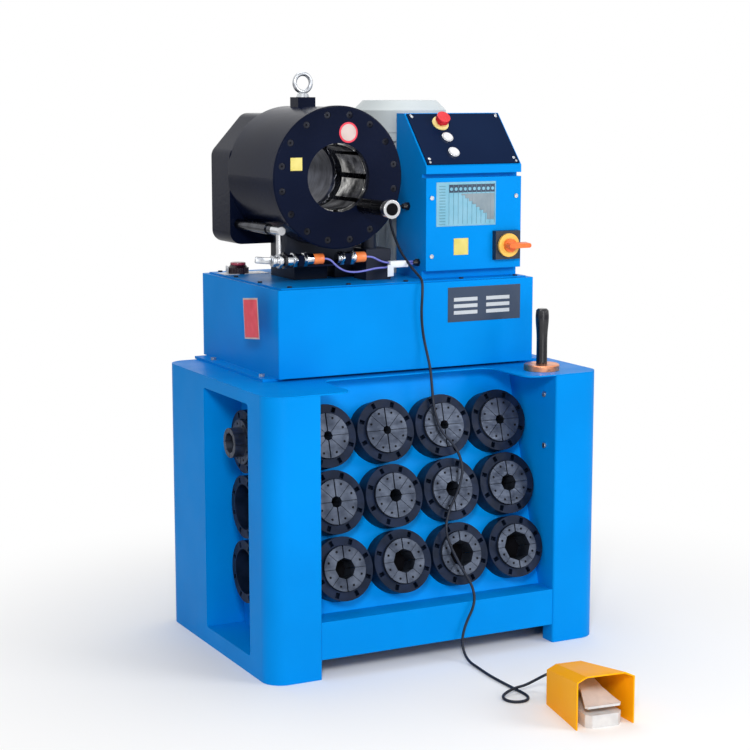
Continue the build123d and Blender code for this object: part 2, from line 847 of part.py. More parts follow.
with BuildPart() as sensor_bracket:
    bracket_left = left_sensor_start
    bracket_right = right_sensor_end
    shelf_z = sensor_z - sensor_radius - 6
    shelf_front = sensor_y - 3
    shelf_depth = front + head_setback + saddle_front - shelf_front
    with Locations(((bracket_left + bracket_right) / 2, shelf_front + shelf_depth / 2, shelf_z + 2)):
        Box(bracket_right - bracket_left, shelf_depth, 4)
    for place in clamp_places:
        with Locations((place, sensor_y, shelf_z + 4 + (sensor_radius + 12) / 2)):
            Box(14, 2 * sensor_radius + 6, sensor_radius + 12)
    with Locations(((bracket_left + bracket_right) / 2, sensor_y, sensor_z)):
        Cylinder(sensor_radius, bracket_right - bracket_left + 1, rotation=(0, 90, 0), mode=Mode.SUBTRACT)
save(sensor_bracket, "sensor_bracket")

# Closing-size adjuster: fixed barrel and spindle, turning thimble
with BuildPart() as adjuster_barrel:
    with BuildSketch(head_plane(0, adjuster_x, adjuster_z)):
        Circle(barrel_radius)
    extrude(amount=-barrel_length)
    with BuildSketch(head_plane(-barrel_length, adjuster_x, adjuster_z)):
        Circle(spindle_radius)
    extrude(amount=-(thimble_length - 12))
save(adjuster_barrel, "adjuster_barrel")

with BuildPart() as adjuster_thimble:
    thimble_start = -barrel_length - gap
    with BuildSketch(head_plane(thimble_start, adjuster_x, adjuster_z)):
        Circle(thimble_radius)
        with PolarLocations(thimble_radius, 18):
            Circle(1.2, mode=Mode.SUBTRACT)
    extrude(amount=-(thimble_length - bezel_length))
    with BuildSketch(head_plane(thimble_start - thimble_length + bezel_length, adjuster_x, adjuster_z)):
        Circle(bezel_radius)
    extrude(amount=-bezel_length)
    with BuildSketch(head_plane(thimble_start, adjuster_x, adjuster_z)):
        Circle(spindle_radius + running)
    extrude(amount=-(thimble_length - 11), mode=Mode.SUBTRACT)
save(adjuster_thimble, "adjuster_thimble")

# Valve block beside the saddle, with its coil
with BuildPart() as valve_block:
    valve_x = head_x + saddle_half + 46
    valve_y = front + head_setback + 96
    with Locations((valve_x, valve_y, lid_top + 35)):
        Box(62, 62, 70)
    with BuildSketch(Plane.XY.offset(lid_top + 70)):
        with Locations((valve_x - 10, valve_y)):
            Circle(17)
    extrude(amount=38)
    chamfer(valve_block.faces().sort_by(Axis.Z)[-1].edges(), 3)
save(valve_block, "valve_block")

# Control box: a folded shell with a sloping head over the door
slope_run = slope_back - door_setback
slope_rise = box_top - slope_low
slope_length = sqrt(slope_run**2 + slope_rise**2)
slope_y = slope_run / slope_length
slope_z = slope_rise / slope_length
box_mid = (box_left + box_right) / 2
box_width = box_right - box_left
slope = Plane(
    origin=(box_mid, front + door_setback, slope_low), x_dir=(1, 0, 0), z_dir=(0, -slope_z, slope_y)
)

with BuildPart() as control_box:
    with BuildSketch(Plane.YZ.offset(box_left)) as box_profile:
        with BuildLine():
            Polyline(
                (front + door_setback + door_depth, lid_top),
                (front + box_back, lid_top),
                (front + box_back, box_top),
                (front + slope_back, box_top),
                (front + door_setback, slope_low),
                (front + door_setback, lip_bottom),
                (front + door_setback + door_depth, lip_bottom),
                close=True,
            )
        make_face()
    extrude(amount=box_width)
    with BuildSketch(Plane.YZ.offset(box_left + box_wall)):
        add(box_profile.sketch_local)
        offset(amount=-box_wall)
    extrude(amount=box_width - 2 * box_wall, mode=Mode.SUBTRACT)
    with BuildSketch(Plane.XZ.offset(-(front + door_setback + door_depth))):
        with Locations((box_mid, (door_bottom + door_top) / 2)):
            Rectangle(box_width - 40, door_top - door_bottom - 30)
    extrude(amount=-box_wall, mode=Mode.SUBTRACT)
    with BuildSketch(slope):
        for along, radius in ((estop_along, estop_stem_radius), (upper_along, bezel_inner), (lower_along, bezel_inner)):
            with Locations((control_x - box_mid, along)):
                Circle(radius + gap)
    extrude(amount=-2 * box_wall, mode=Mode.SUBTRACT)
save(control_box, "control_box")

with BuildPart() as control_door:
    with BuildSketch(Plane.XZ.offset(-(front + door_setback))):
        with Locations((box_mid, (door_bottom + door_top) / 2)):
            Rectangle(box_width, door_top - door_bottom)
    extrude(amount=-door_depth)
    with BuildSketch(Plane.XZ.offset(-(front + door_setback + box_wall))):
        with Locations((box_mid, (door_bottom + door_top) / 2)):
            Rectangle(box_width - 2 * box_wall, door_top - door_bottom - 2 * box_wall)
    extrude(amount=-door_depth, mode=Mode.SUBTRACT)
save(control_door, "control_door")

with BuildPart() as control_panel:
    with BuildSketch(slope):
        with Locations((0, slope_length / 2)):
            Rectangle(box_width - 2 * panel_inset, slope_length - 2 * panel_inset)
        for along, radius in ((estop_along, estop_stem_radius), (upper_along, bezel_inner), (lower_along, bezel_inner)):
            with Locations((control_x - box_mid, along)):
                Circle(radius + gap, mode=Mode.SUBTRACT)
    extrude(amount=panel_thick)
save(control_panel, "control_panel")

# Emergency stop: collar, disc and a mushroom that presses in
with BuildPart() as estop_base:
    with BuildSketch(slope.offset(panel_thick)):
        with Locations((control_x - box_mid, estop_along)):
            Circle(estop_disc_radius)
            Circle(estop_stem_radius, mode=Mode.SUBTRACT)
    extrude(amount=estop_disc_thick)
    with BuildSketch(slope.offset(-estop_depth)):
        with Locations((control_x - box_mid, estop_along)):
            Circle(estop_stem_radius)
            Circle(estop_stem_radius - 3, mode=Mode.SUBTRACT)
    extrude(amount=estop_depth + panel_thick + estop_disc_thick)
save(estop_base, "estop_base")

with BuildPart() as estop_button:
    cap_start = panel_thick + estop_disc_thick + estop_travel + gap
    with BuildSketch(slope.offset(cap_start)):
        with Locations((control_x - box_mid, estop_along)):
            Circle(estop_stem_radius)
    extrude(amount=estop_height - estop_head - cap_start)
    with BuildSketch(slope.offset(estop_height - estop_head)):
        with Locations((control_x - box_mid, estop_along)):
            Circle(estop_head_radius)
    extrude(amount=estop_head)
    with BuildSketch(slope.offset(-estop_shank)):
        with Locations((control_x - box_mid, estop_along)):
            Circle(estop_stem_radius - 3 - running)
    extrude(amount=cap_start + estop_shank)
save(estop_button, "estop_button")

# Push buttons in chromed bezels
with BuildPart() as button_bezels:
    for along in (upper_along, lower_along):
        with BuildSketch(slope.offset(panel_thick)):
            with Locations((control_x - box_mid, along)):
                Circle(bezel_outer)
        extrude(amount=bezel_height, taper=12)
        with BuildSketch(slope.offset(panel_thick + bezel_floor)):
            with Locations((control_x - box_mid, along)):
                Circle(bezel_inner)
        extrude(amount=bezel_height, mode=Mode.SUBTRACT)
        with BuildSketch(slope.offset(-bezel_depth)):
            with Locations((control_x - box_mid, along)):
                Circle(bezel_inner)
        extrude(amount=bezel_depth + panel_thick)
        with BuildSketch(slope.offset(-bezel_depth)):
            with Locations((control_x - box_mid, along)):
                Circle(button_stem + running)
        extrude(amount=bezel_depth + panel_thick + bezel_floor, mode=Mode.SUBTRACT)
save(button_bezels, "button_bezels")

for name, along in (("upper_button", upper_along), ("lower_button", lower_along)):
    with BuildPart() as button:
        button_start = panel_thick + bezel_floor + button_travel + gap
        with BuildSketch(slope.offset(button_start)):
            with Locations((control_x - box_mid, along)):
                Circle(cap_radius)
        extrude(amount=cap_height)
        with BuildSketch(slope.offset(-button_shank)):
            with Locations((control_x - box_mid, along)):
                Circle(button_stem)
        extrude(amount=button_shank + button_start)
    save(button, name)

# Isolator: square plate and disc, turning handle
with BuildPart() as isolator_plate:
    isolator = Plane(
        origin=(isolator_x, front + door_setback, isolator_z), x_dir=(1, 0, 0), z_dir=(0, -1, 0)
    )
    with BuildSketch(isolator):
        Rectangle(isolator_size, isolator_size)
    extrude(amount=isolator_thick, taper=4)
    with BuildSketch(isolator.offset(isolator_thick)):
        Circle(isolator_disc_radius)
    extrude(amount=isolator_disc_thick)
save(isolator_plate, "isolator_plate")

with BuildPart() as isolator_handle:
    handle_start = isolator_thick + isolator_disc_thick + gap
    with BuildSketch(isolator.offset(handle_start)):
        Circle(handle_hub_radius)
    extrude(amount=handle_hub_height)
    with BuildSketch(isolator.offset(handle_start + handle_hub_height)):
        with Locations((handle_offset, 0)):
            SlotOverall(handle_length, handle_width)
    extrude(amount=handle_height, taper=5)
save(isolator_handle, "isolator_handle")

# Glands on the control box's left wall
gland_y = front + gland_setback
sensor_gland_y = front + sensor_gland_setback

with BuildPart() as cable_glands:
    for y, z, radius in ((gland_y, gland_z, gland_radius), (sensor_gland_y, sensor_gland_z, gland_radius - 1)):
        with BuildSketch(Plane.YZ.offset(box_left)):
            with Locations((y, z)):
                RegularPolygon(radius + 2, 6)
        extrude(amount=-gland_nut)
        with BuildSketch(Plane.YZ.offset(box_left - gland_nut)):
            with Locations((y, z)):
                Circle(radius)
        extrude(amount=-gland_nose, taper=14)
save(cable_glands, "cable_glands")

# Lift-out tool: copper disc and a waisted grip, standing on the right gusset
with BuildPart() as lift_tool_disc:
    with BuildSketch(Plane.XY.offset(stand_height)):
        with Locations((tool_x, front + tool_setback)):
            Circle(tool_disc_radius)
    extrude(amount=tool_disc_thick)
    chamfer(lift_tool_disc.faces().sort_by(Axis.Z)[-1].edges(), tool_edge)
save(lift_tool_disc, "lift_tool_disc")

with BuildPart() as lift_tool_grip:
    grip_base = stand_height + tool_disc_thick
    grip_plane = Plane(
        origin=(tool_x, front + tool_setback, grip_base), x_dir=(1, 0, 0), z_dir=(0, -1, 0)
    )
    with BuildSketch(grip_plane):
        with BuildLine():
            Spline((12.5, 0), (12.2, 40), (13, 74), (15, 100), (14, tool_grip_length - 4))
            Polyline((14, tool_grip_length - 4), (10, tool_grip_length), (0, tool_grip_length), (0, 0), (12.5, 0))
        make_face()
    revolve(axis=Axis((tool_x, front + tool_setback, 0), (0, 0, 1)))
save(lift_tool_grip, "lift_tool_grip")

# Foot switch
pedal = Plane(
    origin=(pedal_x, front - pedal_reach, 0),
    x_dir=(cos(radians(pedal_turn)), sin(radians(pedal_turn)), 0),
    z_dir=(0, 0, 1),
)
into = pedal.y_dir


def pedal_section(back):
    """A vertical plane across the foot switch, back behind the hood's mouth, facing back."""
    return Plane(origin=pedal.origin + into * back, x_dir=-pedal.x_dir, z_dir=into)


def hood_section(back, wall, extra):
    share = back / hood_length
    half = hood_front_width / 2 + (hood_back_width - hood_front_width) / 2 * share - wall
    top = hood_front_height + (hood_back_height - hood_front_height) * share - wall
    slant = sqrt(hood_slope_down**2 + hood_slope_in**2)
    down = hood_slope_down - wall * (1 - (slant - hood_slope_down) / hood_slope_in)
    across_top = half - down * hood_slope_in / hood_slope_down
    with BuildSketch(pedal_section(back)) as section:
        with BuildLine():
            Polyline(
                (-half, -extra),
                (half, -extra),
                (half, top - down),
                (across_top, top),
                (-across_top, top),
                (-half, top - down),
                close=True,
            )
        make_face()
    return section.sketch


with BuildPart() as hood_hollow:
    hollow_front = hood_section(-hood_wall, hood_wall, hood_wall)
    loft([hollow_front.face(), hood_section(hood_length - hood_wall, hood_wall, hood_wall).face()])

with BuildPart() as pedal_hood:
    loft([hood_section(0, 0, 0).face(), hood_section(hood_length, 0, 0).face()])
    add(hood_hollow.part, mode=Mode.SUBTRACT)
    with BuildSketch(pedal_section(hood_length / 2)):
        with Locations((pedal_gland_side, pedal_gland_height)):
            Circle(pedal_gland_radius + gap)
    extrude(amount=hood_length, mode=Mode.SUBTRACT)
save(pedal_hood, "pedal_hood")

with BuildPart() as pedal_base:
    base_back = hood_length - hood_wall
    with BuildSketch(pedal) as base_outline:
        with Locations((0, base_back / 2)):
            Rectangle(2 * pedal_half, base_back)
        chamfer(base_outline.vertices().group_by(Axis.Y)[0], pedal_corner)
    extrude(amount=pedal_base_height)
    cheek_length = base_back - pedal_pin_back + 10
    for side in (-1, 1):
        with BuildSketch(pedal.offset(pedal_base_height)):
            with Locations((side * (pedal_pin_length - pedal_cheek) / 2, base_back - cheek_length / 2)):
                Rectangle(pedal_cheek, cheek_length)
        extrude(amount=pedal_pin_height + 10 - pedal_base_height)
    across = Plane(
        origin=pedal.origin + into * pedal_pin_back + pedal.z_dir * pedal_pin_height,
        x_dir=into,
        z_dir=pedal.x_dir,
    )
    with BuildSketch(across):
        Circle(pedal_pin_radius)
    extrude(amount=pedal_half, both=True, mode=Mode.SUBTRACT)
    with BuildSketch(pedal_section(hood_length)):
        with Locations((pedal_gland_side, pedal_gland_height)):
            Circle(pedal_gland_radius + 2)
    extrude(amount=pedal_gland_length, taper=8)
    with BuildSketch(pedal_section(base_back - 10)):
        with Locations((pedal_gland_side, pedal_gland_height)):
            Circle(pedal_gland_radius)
    extrude(amount=10 + hood_wall)
save(pedal_base, "pedal_base")

with BuildPart() as pedal_pin:
    with BuildSketch(across):
        Circle(pedal_pin_radius - running)
    extrude(amount=pedal_pin_length / 2, both=True)
save(pedal_pin, "pedal_pin")

with BuildPart() as pedal_paddle:
    with BuildSketch(across):
        with BuildLine():
            Spline((-120, -23), (-98, -18), (-64, -5), (-34, 2), (-6, 6))
            Line((-6, 6), (6, 6))
            Line((6, 6), (8, -4))
            Spline((8, -4), (-6, -6), (-34, -5), (-64, -12), (-98, -24), (-120, -28))
            Line((-120, -28), (-120, -23))
        make_face()
    extrude(amount=paddle_front_half, both=True)
    paddle_front = pedal_pin_back - 120
    with BuildSketch(pedal):
        with BuildLine():
            Polyline(
                (5 - paddle_front_half, paddle_front),
                (paddle_front_half - 5, paddle_front),
                (paddle_front_half, paddle_front + 6),
                (paddle_waist_half, paddle_waist),
                (paddle_waist_half, hood_length),
                (-paddle_waist_half, hood_length),
                (-paddle_waist_half, paddle_waist),
                (-paddle_front_half, paddle_front + 6),
                close=True,
            )
        make_face()
    extrude(amount=hood_front_height, mode=Mode.INTERSECT)
    with BuildSketch(across):
        Circle(pedal_pin_radius + running)
    extrude(amount=pedal_half, both=True, mode=Mode.SUBTRACT)
save(pedal_paddle, "pedal_paddle")

# Screws of the covers and feet
with BuildPart() as cover_screws:
    foot_margin = (foot_width - foot_inset) / 2
    for x in (tank_left - foot_margin, tank_right + foot_margin):
        for setback in (foot_bolt_front, foot_bolt_back):
            with BuildSketch(Plane.XY.offset(tank_floor)):
                with Locations((x, front + setback)):
                    RegularPolygon(foot_bolt_size, 6)
            extrude(amount=tank_foot)
    with BuildSketch(slope.offset(panel_thick)):
        with Locations((0, slope_length / 2)):
            with GridLocations(box_width - 24, slope_length - 18, 2, 2):
                Circle(panel_screw_radius)
    extrude(amount=2, taper=20)
    door_low = door_bottom + door_screw_up
    door_high = door_top - door_screw_down
    with BuildSketch(Plane.XZ.offset(-(front + door_setback))):
        with Locations(
            (box_left + door_screw_side, door_low),
            (box_left + door_screw_side, door_high),
            (box_right - door_screw_side, door_high),
        ):
            Circle(door_screw_radius)
    extrude(amount=door_screw_height)
save(cover_screws, "cover_screws")


# Free cables: straight runs joined by tangent arcs
def tube(route, radius, least):
    points = [Vector(point) for point in route]
    radii = []
    for before, corner, after in zip(points, points[1:], points[2:]):
        turn = (corner - before).get_angle(after - corner)
        shorter = min((corner - before).length, (after - corner).length)
        radii.append(0.45 * shorter / tan(radians(turn) / 2))
    print("arc radii", [round(r, 1) for r in radii], "least allowed", least)
    with BuildPart() as cable:
        with BuildLine() as path:
            FilletPolyline(*points, radius=radii)
        start = Plane(origin=path.line @ 0, z_dir=path.line % 0)
        with BuildSketch(start):
            Circle(radius)
        sweep()
    length = path.wire().length
    print("length", round(length, 1), "volume share", round(cable.part.volume / (length * pi * radius**2), 4))
    return cable


# The foot switch's cord: down the tank and the dies, along the floor, one small loop
cord_radius = 3.0
dies_front = front + 53 - ring_depth - die_proud
loop = front - pedal_reach
cord_route = [
    (box_left - 15, gland_y, gland_z),
    (box_left - 35, gland_y, gland_z),
    (box_left - 50, gland_y - 3, gland_z - 18),
    (box_left - 51, gland_y - 12, gland_z - 46),
    (box_left - 41, gland_y - 36, gland_z - 98),
    (box_left - 33, gland_y - 70, tank_top + 36),
    (45, tank_setback + front + 18, tank_top + 18),
    (44, tank_setback + front - 7, tank_top + 9),
    (41, tank_setback + front - 14, tank_top - 20),
    (39, tank_setback + front - 12, tank_top - 63),
    (43, tank_setback + front - 11, tank_top - 108),
    (51, tank_setback + front - 13, tank_top - 148),
    (56, plate_edge_setback + front - 7, stand_height + 12),
    (52, dies_front + 143, 594),
    (48, dies_front + 127, 545),
    (56, dies_front + 109, 493),
    (88, dies_front + 97, 460),
    (101, dies_front + 83, 414),
    (84, dies_front + 70, 368),
    (48, dies_front + 57, 323),
    (33, dies_front + 44, 281),
    (42, dies_front + 32, 243),
    (62, dies_front + 18, 197),
    (84, dies_front + 6, 156),
    (80, dies_front - 9, 121),
    (57, front - 8, 80),
    (46, front - 10, 44),
    (45, front - 22, 17),
    (44, front - 48, 4.2),
    (42, front - 88, 3.4),
    (37, (front + loop + 231) / 2, 3.2),
    (37, loop + 319, 3.3),
    (39, loop + 269, 3.2),
    (41, loop + 235, 3.2),
    (36, loop + 210, 3.2),
    (17, loop + 195, 3.3),
    (-6, loop + 200, 3.2),
    (-17, loop + 220, 3.4),
    (-10, loop + 242, 5),
    (12, loop + 252, 9),
    (30, loop + 252, 13.5),
    (52, loop + 254, 14),
    (76, loop + 249, 24),
    (86, loop + 231, 38),
    (80, loop + 209, 48),
]
pedal_tip = (
    pedal.origin
    + into * (hood_length + pedal_gland_length)
    - pedal.x_dir * pedal_gland_side
    + pedal.z_dir * pedal_gland_height
)
cord_route.append(tuple(pedal_tip + into * 13))
cord_route.append(tuple(pedal_tip))
foot_cord = tube(cord_route, cord_radius, 18)
save(foot_cord, "foot_cord")

# The sensors' thin leads, sagging to one gland
lead_radius = 2.2
sag_left = [
    (left_sensor_end + sensor_cap, sensor_y, sensor_z),
    (head_x - 1, sensor_y, sensor_z),
    (head_x + 12, sensor_y - 7, sensor_z - 17),
    (head_x + 29, sensor_y - 9, sensor_z - 28),
    (head_x + 46, sensor_y - 9, sensor_z - 32),
    (head_x + 64, sensor_y - 8, sensor_z - 33),
    (head_x + 89, sensor_y - 8, sensor_z - 30),
    (head_x + 113, sensor_y - 7, sensor_z - 26),
    (box_left - 90, sensor_y - 5, sensor_z - 26.5),
    (box_left - 71, sensor_y - 3, sensor_z - 24),
    (box_left - 51, sensor_y - 1, sensor_z - 22),
    (box_left - 33, sensor_gland_y, sensor_gland_z - 2.5),
    (box_left - 15, sensor_gland_y, sensor_gland_z - 2.5),
]
sag_right = [
    (right_sensor_end + sensor_cap, sensor_y, sensor_z),
    (head_x + 103, sensor_y, sensor_z),
    (head_x + 117, sensor_y, sensor_z - 7),
    (box_left - 94, sensor_y, sensor_z - 14),
    (box_left - 75, sensor_y + 1, sensor_z - 17),
    (box_left - 55, sensor_y + 2, sensor_z - 17.5),
    (box_left - 33, sensor_gland_y, sensor_gland_z + 2.5),
    (box_left - 15, sensor_gland_y, sensor_gland_z + 2.5),
]
left_lead = tube(sag_left, lead_radius, 13.2)
right_lead = tube(sag_right, lead_radius, 13.2)
with BuildPart() as sensor_leads:
    add(left_lead.part)
    add(right_lead.part)
save(sensor_leads, "sensor_leads")
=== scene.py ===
# %% [markdown]
# # A hose crimping machine, dressed for its picture
# The solid model gives every piece its place and its motion. This lesson adds what a
# solid model lacks: paint, ground steel, moulded plastic, the cords, small parts such as
# blank plates, and painted shade for screw sockets and dowel holes. Lengths are metres.

# %% Tools and the imported model
import math

import bpy
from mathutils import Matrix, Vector
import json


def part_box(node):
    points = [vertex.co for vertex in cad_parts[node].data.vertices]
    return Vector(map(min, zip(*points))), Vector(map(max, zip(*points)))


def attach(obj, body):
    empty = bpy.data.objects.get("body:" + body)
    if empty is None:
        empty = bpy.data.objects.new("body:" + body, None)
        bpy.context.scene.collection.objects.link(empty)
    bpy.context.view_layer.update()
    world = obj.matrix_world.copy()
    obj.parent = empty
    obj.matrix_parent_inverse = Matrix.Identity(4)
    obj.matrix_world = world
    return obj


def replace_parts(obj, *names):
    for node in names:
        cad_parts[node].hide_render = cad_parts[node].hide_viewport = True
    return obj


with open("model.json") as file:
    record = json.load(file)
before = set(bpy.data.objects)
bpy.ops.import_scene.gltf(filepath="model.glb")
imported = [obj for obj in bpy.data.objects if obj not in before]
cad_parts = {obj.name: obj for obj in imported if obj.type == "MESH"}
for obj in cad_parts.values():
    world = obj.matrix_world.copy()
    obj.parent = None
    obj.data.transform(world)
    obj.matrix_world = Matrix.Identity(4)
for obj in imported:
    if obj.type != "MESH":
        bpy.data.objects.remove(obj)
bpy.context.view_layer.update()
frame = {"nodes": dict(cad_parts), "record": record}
mm = 0.001

# %% [markdown]
# The shell's front flange is the plane that all setbacks are measured from, as in the
# model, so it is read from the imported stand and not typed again.

# %% The planes that pieces are placed from
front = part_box("left_side_shell")[0][1]
tank_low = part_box("tank_body")[0]
door_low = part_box("control_door")[0]
plate_low, plate_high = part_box("front_plate")
head_x = (plate_low[0] + plate_high[0]) / 2
head_z = (plate_low[2] + plate_high[2]) / 2

# %% [markdown]
# ## Camera
# The photograph was taken from the left, a little above the head, from about four
# metres. The lens follows from how fast the stand's edges draw together.

# %% Camera
camera_place = (-1.9103, front - 3.3965, 1.2517)
camera_yaw = math.radians(27.197)
camera_pitch = math.radians(8.926)
photo_pixels = 750
focal_pixels = 1825.27
camera_data = bpy.data.cameras.new("camera")
camera_data.sensor_width = 36
camera_data.lens = focal_pixels / photo_pixels * camera_data.sensor_width
camera_data.clip_end = 50
camera = bpy.data.objects.new("camera", camera_data)
camera.location = camera_place
camera.rotation_euler = (math.pi / 2 - camera_pitch, 0, -camera_yaw)
bpy.context.collection.objects.link(camera)
bpy.context.scene.camera = camera

# %% [markdown]
# ## Cords
# A cord is one smooth curve through the air, with the same route points as the plain
# tube of the model. A round bevel of one metre is scaled down by each point's radius,
# which gives the cord its thickness and keeps the curve's box tight round it.

# %% A helper for a free cord
def lay_cord(name, points_mm, radius_mm):
    curve = bpy.data.curves.new(name, "CURVE")
    curve.dimensions = "3D"
    spline = curve.splines.new("NURBS")
    spline.points.add(len(points_mm) - 1)
    for place, point in zip(spline.points, points_mm):
        place.co = (point[0] * mm, point[1] * mm + front, point[2] * mm, 1)
        place.radius = radius_mm * mm
    spline.order_u = 3
    spline.use_endpoint_u = True
    spline.resolution_u = 12
    curve.bevel_depth = 1.0
    curve.bevel_resolution = 5
    curve.use_fill_caps = True
    cord = bpy.data.objects.new(name, curve)
    bpy.context.collection.objects.link(cord)
    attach(cord, "machine")
    return cord


# %% [markdown]
# The foot switch hangs on a thin black cord. It leaves the control box on its left
# side, drops over the tank's front edge, trails across the dies, and makes one small
# loop on the floor before it rises into the back of the switch.

# %% The foot switch's cord
pedal_turn = math.radians(-6.2)
pedal_into = Vector((-math.sin(pedal_turn), math.cos(pedal_turn), 0))
pedal_across = Vector((math.cos(pedal_turn), math.sin(pedal_turn), 0))
pedal_mouth = Vector((82, -519, 0))
cord_entry = pedal_mouth + pedal_into * 180 - pedal_across * 30 + Vector((0, 0, 50))
foot_route = [
    (60, 300, 985),
    (40, 300, 985),
    (25, 297, 967),
    (24, 288, 939),
    (34, 264, 887),
    (42, 230, 856),
    (45, 200, 838),
    (44, 175, 829),
    (41, 168, 800),
    (39, 170, 757),
    (43, 171, 712),
    (51, 169, 672),
    (56, 158, 632),
    (52, 143, 594),
    (48, 127, 545),
    (56, 109, 493),
    (88, 97, 460),
    (101, 83, 414),
    (84, 70, 368),
    (48, 57, 323),
    (33, 44, 281),
    (42, 32, 243),
    (62, 18, 197),
    (84, 6, 156),
    (80, -9, 121),
    (57, -8, 80),
    (46, -10, 44),
    (45, -22, 17),
    (44, -48, 4.2),
    (42, -88, 3.4),
    (37, -144, 3.2),
    (37, -200, 3.3),
    (39, -250, 3.2),
    (41, -284, 3.2),
    (36, -309, 3.2),
    (17, -324, 3.3),
    (-6, -319, 3.2),
    (-17, -299, 3.4),
    (-10, -277, 5),
    (12, -267, 9),
    (30, -267, 13.5),
    (52, -265, 14),
    (76, -270, 24),
    (86, -288, 38),
    (80, -310, 48),
    tuple(cord_entry + pedal_into * 13),
    tuple(cord_entry),
]
foot_cord = lay_cord("foot_switch_cord", foot_route, 3.0)

# %% [markdown]
# Each proximity sensor has a thin violet lead. Both sag under the head and meet in a
# small white connector before they enter the control box.

# %% The sensor leads
left_lead_route = [
    (-168, 246, 879),
    (-152, 246, 879),
    (-139, 239, 862),
    (-122, 237, 851),
    (-105, 237, 847),
    (-87, 238, 846),
    (-62, 238, 849),
    (-38, 239, 853),
    (-15, 241, 852.5),
    (4, 243, 855),
    (24, 245, 857),
    (42, 250, 857.5),
    (60, 250, 857.5),
]
right_lead_route = [
    (-64, 246, 879),
    (-48, 246, 879),
    (-34, 246, 872),
    (-19, 246, 865),
    (0, 247, 862),
    (20, 248, 861.5),
    (42, 250, 862.5),
    (60, 250, 862.5),
]
left_lead = lay_cord("left_sensor_lead", left_lead_route, 2.2)
right_lead = lay_cord("right_sensor_lead", right_lead_route, 2.2)

# %% [markdown]
# ## Finishes
# Every finish is built from nodes. A slow noise makes the colour drift a little, a
# fast one gives the surface its grain, and the shader's own sockets hold what is the
# same all over. Object coordinates keep the pattern fixed to the piece.

# %% A helper that starts a finish
def start_finish(name, roughness, metallic=0.0, specular=0.5):
    finish = bpy.data.materials.new(name)
    finish.use_nodes = True
    nodes = finish.node_tree.nodes
    shader = nodes["Principled BSDF"]
    shader.inputs["Roughness"].default_value = roughness
    shader.inputs["Metallic"].default_value = metallic
    shader.inputs["Specular IOR Level"].default_value = specular
    place = nodes.new("ShaderNodeTexCoord")
    place.name = "place"
    return finish


# %% Helpers that add noise, colour and relief
def add_noise(finish, scale, detail=3.0, stretch=(1, 1, 1)):
    nodes = finish.node_tree.nodes
    links = finish.node_tree.links
    mapping = nodes.new("ShaderNodeMapping")
    mapping.inputs["Scale"].default_value = stretch
    noise = nodes.new("ShaderNodeTexNoise")
    noise.inputs["Scale"].default_value = scale
    noise.inputs["Detail"].default_value = detail
    links.new(nodes["place"].outputs["Object"], mapping.inputs["Vector"])
    links.new(mapping.outputs["Vector"], noise.inputs["Vector"])
    return noise.outputs["Fac"]


def blend_colours(finish, factor, dark, light, low=0.35, high=0.65):
    ramp = finish.node_tree.nodes.new("ShaderNodeValToRGB")
    ramp.color_ramp.elements[0].position = low
    ramp.color_ramp.elements[0].color = (*dark, 1)
    ramp.color_ramp.elements[1].position = high
    ramp.color_ramp.elements[1].color = (*light, 1)
    finish.node_tree.links.new(factor, ramp.inputs["Fac"])
    return ramp.outputs["Color"]


def set_colour(finish, colour):
    shader = finish.node_tree.nodes["Principled BSDF"]
    finish.node_tree.links.new(colour, shader.inputs["Base Color"])


def vary_roughness(finish, factor, low, high):
    nodes = finish.node_tree.nodes
    span = nodes.new("ShaderNodeMapRange")
    span.inputs["From Min"].default_value = 0.3
    span.inputs["From Max"].default_value = 0.7
    span.inputs["To Min"].default_value = low
    span.inputs["To Max"].default_value = high
    finish.node_tree.links.new(factor, span.inputs["Value"])
    finish.node_tree.links.new(span.outputs["Result"], nodes["Principled BSDF"].inputs["Roughness"])


def add_relief(finish, height, strength, distance):
    nodes = finish.node_tree.nodes
    edge = nodes.new("ShaderNodeBevel")
    edge.samples = 4
    edge.inputs["Radius"].default_value = 0.0012
    bump = nodes.new("ShaderNodeBump")
    finish.node_tree.links.new(edge.outputs["Normal"], bump.inputs["Normal"])
    bump.inputs["Strength"].default_value = strength
    bump.inputs["Distance"].default_value = distance
    finish.node_tree.links.new(height, bump.inputs["Height"])
    finish.node_tree.links.new(bump.outputs["Normal"], nodes["Principled BSDF"].inputs["Normal"])


# %% [markdown]
# Powder coat and gloss enamel are the same build with other numbers: a colour that
# drifts, a fine orange-peel relief and a roughness that is never quite even.

# %% A finish for painted sheet and castings
def make_paint(name, dark, light, roughness, peel_scale, peel_strength, specular=0.5):
    finish = start_finish(name, roughness, specular=specular)
    set_colour(finish, blend_colours(finish, add_noise(finish, 3.0), dark, light))
    vary_roughness(finish, add_noise(finish, 14.0), roughness * 0.85, roughness * 1.2)
    add_relief(finish, add_noise(finish, peel_scale, 2.0), peel_strength, 0.001)
    return finish


# %% A finish for bare and blackened metal
def make_metal(name, dark, light, roughness, grain, stretch=(1, 1, 1), metallic=1.0, relief=0.08):
    finish = start_finish(name, roughness, metallic=metallic)
    streaks = add_noise(finish, grain, 5.0, stretch)
    set_colour(finish, blend_colours(finish, add_noise(finish, 35.0, 4.0), dark, light))
    vary_roughness(finish, streaks, roughness * 0.7, roughness * 1.35)
    add_relief(finish, streaks, relief, 0.0005)
    return finish


# %% A finish for moulded plastic and rubber
def make_plastic(name, dark, light, roughness, grain=420.0, relief=0.12, specular=0.5):
    finish = start_finish(name, roughness, specular=specular)
    set_colour(finish, blend_colours(finish, add_noise(finish, 28.0), dark, light))
    vary_roughness(finish, add_noise(finish, 60.0), roughness * 0.8, roughness * 1.25)
    add_relief(finish, add_noise(finish, grain, 2.0), relief, 0.0004)
    return finish


